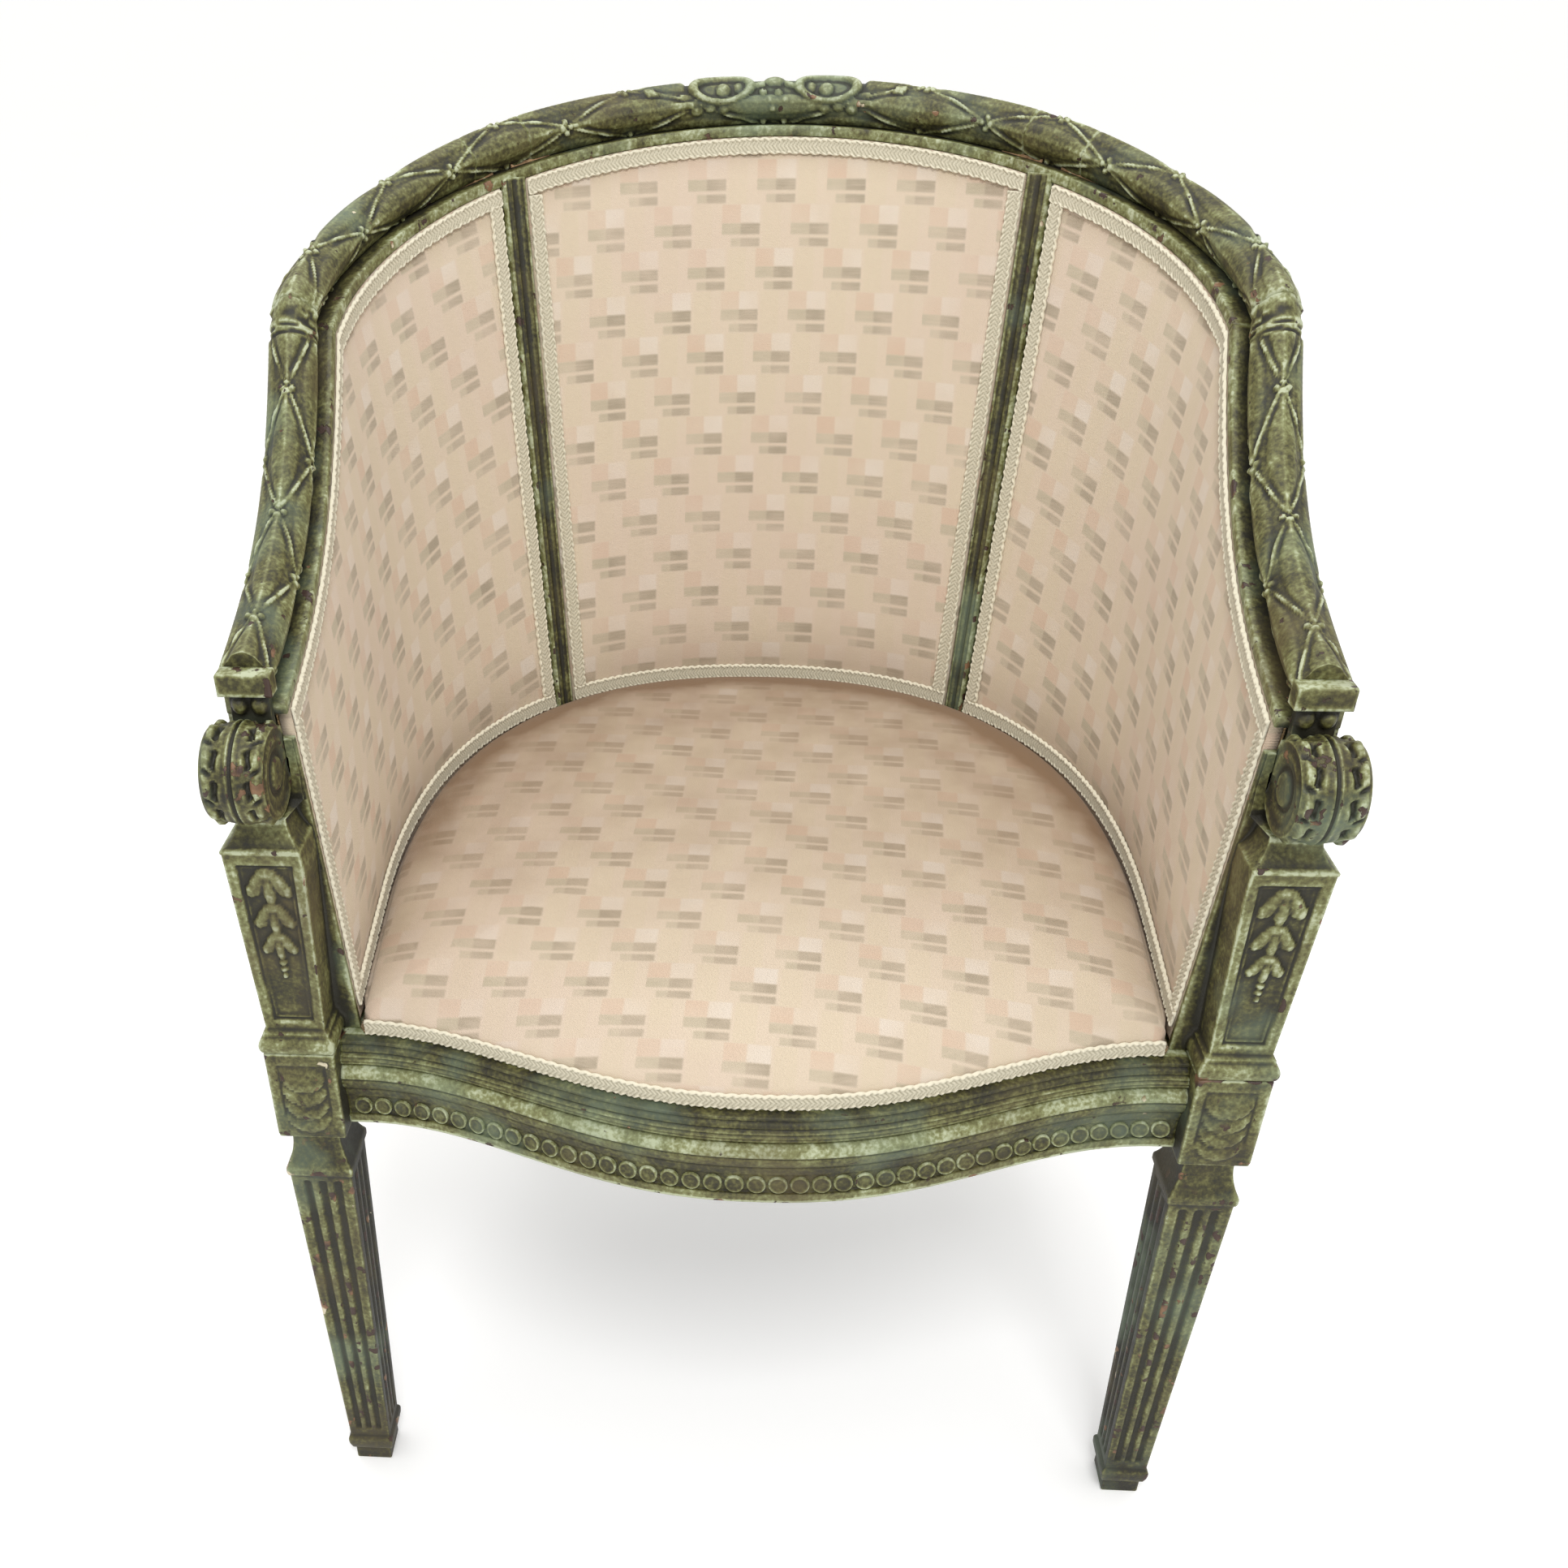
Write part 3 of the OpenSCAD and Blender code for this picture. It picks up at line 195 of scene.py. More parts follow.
class Shop:
    """Makes the nodes of one material."""

    def __init__(self, name: str, world: bpy.types.World | None = None) -> None:
        """Start an empty material.

        Args:
            name: The material's name.
            world: A world to work on instead.
        """
        self.material = world or bpy.data.materials.new(name)
        self.material.use_nodes = True
        self.tree = self.material.node_tree
        self.tree.nodes.clear()
        self.where = self.node("ShaderNodeTexCoord").outputs["Object"]

    def node(self, kind: str, settings: dict | None = None, inputs: dict | None = None) -> bpy.types.Node:
        """Add one node.

        Args:
            kind: The node's type.
            settings: Attributes set first; "stops" fills a colour ramp.
            inputs: Values or links by the socket's name or number.

        Returns:
            The node.
        """
        made = self.tree.nodes.new(kind)
        for key, value in (settings or {}).items():
            if key == "stops":
                self._fill(made.color_ramp, value)
            else:
                setattr(made, key, value)
        for key, value in (inputs or {}).items():
            source = value.socket if isinstance(value, Wire) else value
            if isinstance(source, bpy.types.NodeSocket):
                self.tree.links.new(source, made.inputs[key])
            else:
                made.inputs[key].default_value = source
        return made

    def _fill(self, ramp: bpy.types.ColorRamp, stops: Sequence[tuple[float, Colour]]) -> None:
        """Set the stops of a colour ramp.

        Args:
            ramp: The ramp.
            stops: Places and colours.
        """
        while len(ramp.elements) < len(stops):
            ramp.elements.new(0.5)
        for element, (place, colour) in zip(ramp.elements, stops):
            element.position = place
            element.color = colour

    def math(self, kind: str, *values: "Wire | float", clamp: bool = False) -> Wire:
        """Work out one sum on numbers."""
        made = self.node("ShaderNodeMath", {"operation": kind, "use_clamp": clamp}, dict(enumerate(values)))
        return Wire(self, made.outputs[0])

    def noise(self, scale: float, detail: float = 3.0, stretch: Sequence[float] | None = None) -> Wire:
        """Read soft noise at the object's own scale.

        Args:
            scale: Waves in a metre.
            detail: Octaves.
            stretch: How much the three axes are squeezed first.

        Returns:
            Noise about 0.5.
        """
        where = self.where
        if stretch:
            squeeze = {"operation": "MULTIPLY"}
            where = self.node("ShaderNodeVectorMath", squeeze, {0: where, 1: stretch}).outputs[0]
        made = self.node("ShaderNodeTexNoise", None, {"Vector": where, "Scale": scale, "Detail": detail})
        return Wire(self, made.outputs["Fac"])

    def number(self, name: str) -> Wire:
        """Read a number kept on the mesh."""
        return Wire(self, self.node("ShaderNodeAttribute", {"attribute_name": name}).outputs["Fac"])

    def pair(self, name: str) -> tuple[Wire, Wire]:
        """Read two lengths kept on the mesh.

        Args:
            name: Their name.

        Returns:
            Both lengths in metres.
        """
        kept = self.node("ShaderNodeAttribute", {"attribute_name": name}).outputs["Vector"]
        split = self.node("ShaderNodeSeparateXYZ", None, {0: kept})
        return Wire(self, split.outputs[0]), Wire(self, split.outputs[1])

    def blend(self, factor: Wire, first: Value, second: Value) -> bpy.types.NodeSocket:
        """Mix two colours."""
        settings = {"data_type": "RGBA", "clamp_factor": True}
        return self.node("ShaderNodeMix", settings, {0: factor, 6: first, 7: second}).outputs[2]

    def ramp(self, factor: Wire, stops: Sequence[tuple[float, Colour]]) -> bpy.types.NodeSocket:
        """Turn a number into a colour."""
        return self.node("ShaderNodeValToRGB", {"stops": stops}, {0: factor}).outputs[0]

    def bump(self, height: Wire, depth: float, strength: float = 1.0) -> bpy.types.NodeSocket:
        """Turn a height into a normal; depth is in metres."""
        inputs = {"Height": height, "Distance": depth, "Strength": strength}
        return self.node("ShaderNodeBump", None, inputs).outputs[0]

    def surface(self, **inputs: Value) -> bpy.types.Material:
        """Close the material with its shader.

        Args:
            inputs: Sockets of the shader, with underscores for the spaces of their names.

        Returns:
            The finished material.
        """
        named = {key.replace("_", " "): value for key, value in inputs.items()}
        shader = self.node("ShaderNodeBsdfPrincipled", None, named)
        self.node("ShaderNodeOutputMaterial", None, {"Surface": shader.outputs[0]})
        return self.material


@dataclass(frozen=True)
class WornPaint:
    """Old grey-green paint on carved wood, chipped to the wood: painted shade in the hollows, heights paler
    as wear and painted highlight.
    """

    name: str
    hollow: Colour = linear(30, 28, 13)
    dark: Colour = linear(60, 57, 25)
    body: Colour = linear(93, 91, 49)
    light: Colour = linear(126, 129, 84)
    crest: Colour = linear(176, 182, 150)
    cold: Colour = linear(120, 138, 114)
    warm: Colour = linear(88, 76, 44)
    chip: Colour = linear(58, 38, 28)
    raw: Colour = linear(126, 94, 66)
    chalk: Colour = linear(206, 196, 168)
    shade: float = 0.0
    chips: float = 0.2

    def material(self) -> bpy.types.Material:
        """Build the paint's nodes.

        Returns:
            The material.
        """
        shop = Shop(self.name)
        proud = shop.number("relief")
        speckle = shop.noise(420, 3)
        brushed = shop.noise(60, 5)
        patch = shop.noise(13, 4)
        rub_and_highlight = shop.noise(150, 3)
        # Painted shade: the shade field and the mesh's shading attribute darken the paint; where the
        # attribute is below 0 the paint is paler, as painted highlight and wear.
        depth = self.shade + shop.number("soil") * 0.4
        # Heights are painted paler, partly as wear and partly as painted highlight.
        level = 0.42 - depth + proud * (rub_and_highlight * 0.75 + 0.06) + (brushed - 0.5) * 0.95 + (speckle - 0.5) * 0.9
        stops = [
            (0.08, self.hollow), (0.3, self.dark), (0.5, self.body), (0.72, self.light), (0.95, self.crest)
        ]
        colour = shop.ramp(level, stops)
        colour = shop.blend(patch.step(0.53, 0.68) * 0.45, colour, self.cold)
        colour = shop.blend(patch.step(0.46, 0.28) * 0.55, colour, self.warm)
        # Painted shade: deep hollows are blended towards the near-black hollow colour.
        colour = shop.blend(proud.step(-0.1, -0.6) * 0.8, colour, self.hollow)
        spots = shop.noise(95, 5)
        bound = 0.7 - 0.05 * self.chips
        worn = (spots + proud * 0.05).step(bound, bound + 0.02) * proud.step(-0.12, 0.1)
        kind = shop.noise(34, 2)
        bare = shop.blend(kind.step(0.54, 0.6), self.chip, self.raw)
        bare = shop.blend(kind.step(0.64, 0.68), bare, self.chalk)
        colour = shop.blend(worn, colour, bare)
        grain = shop.noise(900, 2) * 0.35 + brushed * 1.2 - worn * 0.9
        rough = 0.62 - proud.step(0.1, 0.9) * 0.14 + (speckle - 0.5) * 0.2
        return shop.surface(Base_Color=colour, Roughness=rough, Normal=shop.bump(grain, 0.0006))


@dataclass(frozen=True)
class WovenCloth:
    """Cream and pink check cloth with staggered pairs of grey bars."""

    name: str
    ground: Colour = linear(220, 203, 181)
    strip: Colour = linear(217, 202, 174)
    blush: Colour = linear(214, 185, 161)
    pale: Colour = linear(229, 219, 207)
    bar: Colour = linear(172, 159, 138)
    bar_end: Colour = linear(194, 182, 158)
    shade_brown: Colour = linear(126, 98, 68)
    flush: Colour = linear(218, 196, 180)
    between: Colour = linear(120, 96, 72)
    upper_bar: tuple[float, float] = (8.3, 15.3)
    lower_bar: tuple[float, float] = (0.8, 6.0)
    squares: tuple[float, float] = (15.3, 26.9)
    threads: tuple[float, float] = (0.95, 1.05)
    bar_step: float = 6.5
    repeat: float = 48.6
    row: float = 27.1
    bar_length: float = 26.9
    check: float = 13.4

    def _slab(self, place: Wire, low: float, high: float) -> Wire:
        """Mark where a place lies between two lengths."""
        soft = 0.7
        return place.step(low - soft, low + soft) * place.step(high + soft, high - soft)

    def material(self) -> bpy.types.Material:
        """Build the cloth's nodes.

        Returns:
            The material.
        """
        shop = Shop(self.name)
        x, y = shop.pair("cloth")
        ragged = (shop.noise(900, 1) - 0.5) * 0.9
        x = x * (1 / MM) + ragged
        y = y * (1 / MM) + ragged * 0.6
        rows = y / self.row
        odd = (rows.floor() * 0.5).fraction()
        across = (x / self.repeat + odd).fraction() * self.repeat
        up = rows.fraction() * self.row
        upper = self._slab(across, 0, self.bar_length) * self._slab(up, *self.upper_bar)
        lower = self._slab(across, self.bar_step, self.bar_length) * self._slab(up, *self.lower_bar)
        left = self._slab(across, 0, self.check) * self._slab(up, *self.squares)
        right = self._slab(across, self.check, self.bar_length) * self._slab(up, *self.squares)
        column = self._slab(across, self.bar_length + 2, self.repeat - 7)
        drift = shop.noise(22, 2)
        colour = shop.blend(column * 0.45, self.ground, self.strip)
        colour = shop.blend(left * drift.step(0.25, 0.65) * 0.7, colour, self.blush)
        colour = shop.blend(right * drift.step(0.7, 0.35) * 0.62, colour, self.pale)
        colour = shop.blend(shop.noise(9, 2).step(0.5, 0.62) * 0.3, colour, self.flush)
        bars = shop.blend(self._slab(across, 0, self.check), self.bar, self.bar_end)
        thread = (y * (2 * math.pi / self.threads[1])).sine() * (x * (2 * math.pi / self.threads[0])).sine()
        streak = shop.noise(1.0, 1, (60, 60, 900))
        faint = 0.74 + (shop.noise(38, 2) - 0.5) * 1.2 + (streak - 0.5) * 0.5
        colour = shop.blend((upper + lower * 0.92) * (faint + thread * 0.1), colour, bars)
        colour = shop.blend((thread * 0.5 + 0.5) * 0.09, colour, self.between)
        # Painted shade: the mesh's shading attribute blends the cloth, in blotches, towards a brown.
        soil = shop.number("soil") * (0.55 + shop.noise(30, 4) * 0.9)
        colour = shop.blend(soil, colour, self.shade_brown)
        weave = thread * 0.5 + shop.noise(700, 2) * 0.6
        return shop.surface(
            Base_Color=colour, Roughness=0.88 + (drift - 0.5) * 0.1, Sheen_Weight=0.12,
            Normal=shop.bump(weave, 0.00022)
        )


@dataclass(frozen=True)
class PlainCloth:
    """A plain woven cloth of one yarn, read from its thread pitch."""

    name: str
    yarn: Colour
    gap: Colour
    pitch: float = 1.6
    depth: float = 0.0004
    by_relief: bool = False

    def material(self) -> bpy.types.Material:
        """Build the cloth's nodes.

        Returns:
            The material.
        """
        shop = Shop(self.name)
        x, y = shop.pair("cloth")
        turn = 2 * math.pi / (self.pitch * MM)
        threads = (x * turn).sine() * (y * turn).sine()
        fuzz = shop.noise(650, 3)
        if self.by_relief:
            # Painted highlight and shade: the braid's raised cords are painted pale and its grooves dark.
            level = 0.62 + shop.number("relief") * 0.45 + (fuzz - 0.5) * 0.5
        else:
            level = 0.55 + threads * 0.3 + (fuzz - 0.5) * 0.5
        colour = shop.blend(level.step(0.1, 0.95), self.gap, self.yarn)
        height = fuzz * 0.7 if self.by_relief else threads * 0.5 + fuzz * 0.5
        return shop.surface(
            Base_Color=colour, Roughness=0.9 - fuzz * 0.08, Sheen_Weight=0.1,
            Normal=shop.bump(height, self.depth)
        )


@dataclass(frozen=True)
class SawnWood:
    """Plain unpainted beech with flecks and long grain."""

    name: str
    pale: Colour = linear(206, 172, 130)
    deep: Colour = linear(158, 116, 76)

    def material(self) -> bpy.types.Material:
        """Build the wood's nodes.

        Returns:
            The material.
        """
        shop = Shop(self.name)
        grain = shop.noise(60, 5, (9.0, 1.0, 9.0))
        fleck = shop.noise(300, 2, (1.0, 0.25, 1.0))
        colour = shop.blend(grain.step(0.3, 0.7), self.pale, self.deep)
        colour = shop.blend(fleck.step(0.6, 0.72) * 0.5, colour, self.deep)
        return shop.surface(
            Base_Color=colour, Roughness=0.6 + (fleck - 0.5) * 0.2,
            Normal=shop.bump(grain + fleck * 0.3, 0.0003)
        )


@dataclass(frozen=True)
class DrawnSteel:
    """Steel wire or screws with a thin uneven tarnish."""

    name: str
    bright: Colour
    tarnish: Colour

    def material(self) -> bpy.types.Material:
        """Build the metal's nodes.

        Returns:
            The material.
        """
        shop = Shop(self.name)
        cloud = shop.noise(90, 4)
        scratch = shop.noise(1500, 2, (1.0, 1.0, 0.2))
        colour = shop.blend(cloud.step(0.42, 0.7), self.bright, self.tarnish)
        return shop.surface(
            Base_Color=colour,
            Metallic=0.95 - cloud.step(0.5, 0.8) * 0.25,
            Roughness=0.32 + cloud * 0.3 + (scratch - 0.5) * 0.2,
            Normal=shop.bump(scratch, 0.00008),
        )


class Finish(Enum):
    """Finishes of the chair, each with the name of a material slot."""

    PAINT = ("painted_wood", WornPaint("worn_paint"))
    PAINT_SHADE = ("painted_wood", WornPaint("shaded_paint", shade=0.08))
    PAINT_WORN = ("painted_wood", WornPaint("bare_worn_paint", shade=0.08, chips=1.4))
    CLOTH = ("woven_fabric", WovenCloth("check_cloth"))
    GIMP = (
        "gimp",
        PlainCloth("gimp_braid", linear(219, 212, 190), linear(146, 138, 114), by_relief=True, depth=0.0004),
    )
    HESSIAN = ("hessian", PlainCloth("jute_hessian", linear(176, 148, 104), linear(84, 66, 40), 2.2))
    WEBBING = ("webbing", PlainCloth("jute_webbing", linear(166, 134, 88), linear(92, 68, 40), 3.0, 0.0007))
    STUFFING = ("stuffing", PlainCloth("stuffing_calico", linear(196, 182, 152), linear(120, 98, 68), 1.0))
    DUST = ("dust_cloth", PlainCloth("black_dust_cloth", linear(48, 45, 42), linear(20, 19, 18), 0.9))
    WOOD = ("bare_wood", SawnWood("sawn_beech"))
    SPRING = ("spring_steel", DrawnSteel("coppered_wire", linear(150, 104, 76), linear(92, 66, 50)))
    SCREW = ("screw_steel", DrawnSteel("plain_screws", linear(176, 176, 174), linear(116, 112, 106)))


# Meshes


class Skin:
    """Gathers grids of points into one mesh."""

    def __init__(self) -> None:
        """Start with nothing."""
        self.points: list[Array] = []
        self.quads: list[Array] = []
        self.lids: list[list[int]] = []
        self.cloth: list[Array] = []
        self.soil: list[Array] = []
        self.count = 0

    def grid(
        self,
        points: Array,
        closed: bool = True,
        looped: bool = False,
        lids: bool = True,
        cloth: Array | None = None,
        soil: Array | float = 0.0,
    ) -> None:
        """Add a grid of points, rows of rings.

        Args:
            points: Rows by columns by 3, in millimetres.
            closed: Whether each row joins up with itself.
            looped: Whether the last row joins the first.
            lids: Whether the first and last row are filled.
            cloth: Rows by columns by 2, places on the cloth in millimetres.
            soil: How much darker the points are painted, mostly as painted shade and partly as their own
                tone, paler below 0; a number or an array that spreads over the grid.
        """
        rows, columns = points.shape[:2]
        index = np.arange(rows * columns).reshape(rows, columns) + self.count
        table = np.vstack([index, index[:1]]) if looped else index
        table = np.hstack([table, table[:, :1]]) if closed else table
        quads = np.stack([table[:-1, :-1], table[:-1, 1:], table[1:, 1:], table[1:, :-1]], -1).reshape(-1, 4)
        ring = np.cross(points[1] - points[0], np.roll(points[0], -1, 0) - points[0])
        outward = (ring * (points[0] - points[0].mean(0))).sum() if closed else 1
        if outward > 0 and closed:
            quads = quads[:, ::-1]
        self.quads.append(quads)
        if lids and closed and not looped:
            for row, first in ((index[0], True), (index[-1], False)):
                self.lids.append([int(i) for i in (row[::-1] if first == (outward < 0) else row)])
        self.points.append(points.reshape(-1, 3))
        size = rows * columns
        self.cloth.append(np.zeros((size, 2)) if cloth is None else cloth.reshape(-1, 2))
        self.soil.append(np.broadcast_to(soil, (rows, columns)).reshape(-1))
        self.count += size

    def mirrored(self) -> "Skin":
        """Copy to the other side of the chair.

        Returns:
            The mirror image.
        """
        other = Skin()
        other.points = [p * (-1, 1, 1) for p in self.points]
        other.quads = [q[:, ::-1] for q in self.quads]
        other.lids = [f[::-1] for f in self.lids]
        other.cloth = [c * (-1, 1) for c in self.cloth]
        other.soil = self.soil
        other.count = self.count
        return other

    def join(self, other: "Skin") -> None:
        """Take in another skin.

        Args:
            other: The skin to add.
        """
        self.points += other.points
        self.quads += [q + self.count for q in other.quads]
        self.lids += [[i + self.count for i in f] for f in other.lids]
        self.cloth += other.cloth
        self.soil += other.soil
        self.count += other.count

    def shift(self, x: float, y: float) -> None:
        """Move everything level."""
        self.points = [p + (x, y, 0) for p in self.points]

    def _proud(self, points: Array, quads: Array, normals: Array, passes: int, reach: float) -> Array:
        """Tell how far each point stands out of its surroundings, in shares of a reach.

        Args:
            points: The points.
            quads: The faces.
            normals: Directions out of the skin.
            passes: Rounds of smoothing.
            reach: Height in millimetres that counts as 1.

        Returns:
            Shares from -1.2 to 1.2.
        """
        a = quads.reshape(-1)
        b = np.roll(quads, -1, 1).reshape(-1)
        ends, others = np.concatenate([a, b]), np.concatenate([b, a])
        degree = np.maximum(np.bincount(ends, minlength=len(points)), 1)[:, None]
        calm = points.copy()
        for _ in range(passes):
            near = np.stack([np.bincount(ends, calm[others, k], len(points)) for k in range(3)], 1) / degree
            calm = mix(calm, near, 0.6)
        return np.clip(((points - calm) * normals).sum(1) / reach, -1.2, 1.2)

    def build(self, name: str, passes: int = 10, reach: float = 0.7) -> bpy.types.Object:
        """Make the object.

        Args:
            name: The piece's name.
            passes: How wide the surroundings are that heights are told from.
            reach: Height in millimetres that counts as fully proud.

        Returns:
            The new object, linked to the scene.
        """
        points = np.concatenate(self.points)
        quads = np.concatenate(self.quads)
        placed = (points - (0, DEPTH_CENTRE, 0)) * MM
        mesh = bpy.data.meshes.new(name)
        mesh.from_pydata(placed.tolist(), [], quads.tolist() + self.lids)
        mesh.update()
        mesh.shade_smooth()
        normals = np.empty(len(points) * 3, np.float32)
        mesh.vertex_normals.foreach_get("vector", normals)
        proud = self._proud(points, quads, normals.reshape(-1, 3), passes, reach)
        cloth = np.column_stack([np.concatenate(self.cloth) * MM, np.zeros(len(points))])
        for key, values, kind in (
            ("relief", proud, "FLOAT"),
            ("soil", np.concatenate(self.soil), "FLOAT"),
            ("cloth", cloth, "FLOAT_VECTOR"),
        ):
            kept = mesh.attributes.new(key, kind, "POINT")
            kept.data.foreach_set(
                "vector" if kind == "FLOAT_VECTOR" else "value", values.astype(np.float32).ravel()
            )
        made = bpy.data.objects.new(name, mesh)
        bpy.context.scene.collection.objects.link(made)
        return made


class Bench:
    """Dresses finished pieces and puts them on the frame."""

    def __init__(self, nodes: dict[str, bpy.types.Object]) -> None:
        """Make every material once.

        Args:
            nodes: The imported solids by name.
        """
        self.nodes = nodes
        self.paints = {finish: finish.value[1].material() for finish in Finish}

    def place(
        self,
        skin: Skin,
        name: str,
        finish: Finish,
        replaces: Sequence[str] = (),
        passes: int = 10,
        reach: float = 0.7,
    ) -> bpy.types.Object:
        """Turn a skin into a piece of the chair.

        Args:
            skin: The points and faces.
            name: The piece's name.
            finish: Its finish.
            replaces: Solids that it stands for.
            passes: Passed on to the skin.
            reach: Passed on to the skin.

        Returns:
            The piece.
        """
        made = skin.build(name, passes, reach)
        made.data.materials.append(self.paints[finish])
        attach(made, BODY)
        if replaces:
            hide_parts(*replaces)
        LOG.info("%s: %d points", name, len(made.data.vertices))
        return made

    def both(
        self, skin: Skin, name: str, finish: Finish, replaces: str = "", **more: float
    ) -> list[bpy.types.Object]:
        """Place a piece of the sitter's left, at positive X, and its mirror image.

        Args:
            skin: The piece at positive X.
            name: Its name without the side.
            finish: Its finish.
            replaces: Solid that it stands for, without the side.
            more: Passed on to place.

        Returns:
            Both pieces.
        """
        out = []
        for side, one in (("right", skin), ("left", skin.mirrored())):
            solids = [f"{replaces}_{side}"] if replaces else ()
            out.append(self.place(one, f"{name}_{side}", finish, solids, **more))
        return out

    def dress(self, node: str, finish: Finish) -> None:
        """Give a solid that stays its finish.

        Args:
            node: The solid.
            finish: Its finish.
        """
        slots = self.nodes[node].material_slots
        if not slots:
            self.nodes[node].data.materials.append(self.paints[finish])
        for slot in slots:
            slot.material = self.paints[finish]
        LOG.info("%s: dressed solid", node)


# Walls


@dataclass
class TubPlan:
    """The curved walls, placed by a share of their run: 0 at the middle of the back, 1 at the front."""

    side_x: float = 236.5
    seat_d: float = 398.0
    straight: float = 120.0
    squareness: float = 2.2
    arm_front: float = 28.0
    knuckle_y: float = 262.0
    crest_y: float = 500.0
    knuckle_h: float = 724.0
    crest_h: float = 802.0
    arm_h: float = 587.0
    crest_flare: float = 24.5
    arm_flare: float = 13.5
    slope: float = 0.37
    seat_top: float = 382.0
    base_t: float = 42.0
    top_t: float = 23.0
    near: float = 0.006
    stile: float = 0.3
    head_w: float = 42.0
    edge_front: float = 6.0
    edge_back: float = 56.0

    def __post_init__(self) -> None:
        """Measure the two lines that the walls run between."""
        turn = np.radians(np.linspace(0, 90, 721))
        power = 2 / self.squareness
        ease = np.clip(np.cos(turn), 0, 1)
        depth = self.straight + (self.seat_d - self.straight) * ease**power
        seat = np.stack([self.side_x * np.sin(turn) ** power, depth], 1)
        tail = [[self.side_x, y] for y in np.linspace(self.straight, self.arm_front, 40)[1:]]
        self.seat_line = np.vstack([seat, tail])
        t = 1 - np.linspace(0, 1, 401)[1:]
        depth = mix(self.knuckle_y, self.crest_y, ease)
        crest = np.stack([(self.side_x + self.crest_flare) * np.sin(turn), depth], 1)
        across = self.side_x + mix(self.arm_flare, self.crest_flare, t)
        arm = np.stack([across, mix(self.arm_front, self.knuckle_y, t)], 1)
        self.top_line = np.vstack([crest, arm])
        fall = self.slope * t + (1 - self.slope) * t**3
        self.heights = np.concatenate(
            [mix(self.knuckle_h, self.crest_h, ease), mix(self.arm_h, self.knuckle_h, fall)]
        )
        self.seat_runs, self.seat_run = self._runs(self.seat_line)
        self.top_runs, self.top_run = self._runs(self.top_line)
        self.rail_runs, self.rail_run = self._runs(np.column_stack([self.top_line, self.heights]))
        self.knuckle = self.top_runs[720]
        self.head_half = self.head_w / 2 / self.top_run

    def _runs(self, line: Array) -> tuple[Array, float]:
        """Give the shares of the run at each point of a line, and the whole run."""
        run = run_up(np.linalg.norm(np.diff(line, axis=0), axis=1))
        return run / run[-1], float(run[-1])

    def _place(self, s: Array, runs: Array, line: Array) -> Array:
        """Find places on a line that is the same on both sides."""
        x, y = (np.interp(np.abs(s), runs, line[:, k]) for k in (0, 1))
        return np.stack([np.sign(s) * x, y], -1)

    def seat_plan(self, s: Array) -> Array:
        """Plan of the walls at the seat."""
        return self._place(s, self.seat_runs, self.seat_line)

    def top_plan(self, s: Array) -> Array:
        """Plan of the walls at the crest and arms."""
        return self._place(s, self.top_runs, self.top_line)

    def top_z(self, s: Array) -> Array:
        """Height of the walls."""
        return np.interp(np.abs(s), self.top_runs, self.heights)

    def rail_length(self, s: Array) -> Array:
        """Length along the rail from the middle of the crest."""
        return np.sign(s) * np.interp(np.abs(s), self.top_runs, self.rail_runs) * self.rail_run

    def rise(self, s: Array, z: Array) -> Array:
        """Share of the way from the seat to the top."""
        return np.maximum(0, (z - self.seat_top) / (self.top_z(s) - self.seat_top))

    def plan(self, s: Array, z: Array) -> Array:
        """Plan of the walls at a height."""
        return mix(self.seat_plan(s), self.top_plan(s), self.rise(s, z)[..., None])

    def inward(self, s: Array, z: Array) -> Array:
        """Level unit vector into the chair.

        Args:
            s: Share of the run.
            z: Height.

        Returns:
            X and Y of the vectors.
        """
        d = self.plan(np.minimum(s + self.near, 1), z) - self.plan(np.maximum(s - self.near, -1), z)
        d = unit(d)
        return np.stack([d[..., 1], -d[..., 0]], -1)

    def wall(self, s: Array, z: Array, u: Array | float) -> Array:
        """Point on the walls, u millimetres into the chair.

        Args:
            s: Share of the run.
            z: Height.
            u: Distance into the chair.

        Returns:
            The points.
        """
        s, z, u = np.broadcast_arrays(s, z, u)
        flat = self.plan(s, z) + u[..., None] * self.inward(s, z)
        return np.concatenate([flat, z[..., None]], -1)

    def thick(self, s: Array, z: Array) -> Array:
        """Depth of the walls out to their outer face."""
        return mix(self.base_t, self.top_t, self.rise(s, z))

    def run_at(self, s: Array, z: Array) -> Array:
        """Length along the walls from the middle of the back, at a height."""
        return s * mix(self.seat_run, self.top_run, self.rise(s, z))

    def edge_rise(self, s: Array) -> Array:
        """Height of the seat's edge above the seat rails."""
        y = self.seat_plan(s)[..., 1]
        return mix(self.edge_front, self.edge_back, 1 - (1 - y / (self.seat_d + 1)) ** 1.5)


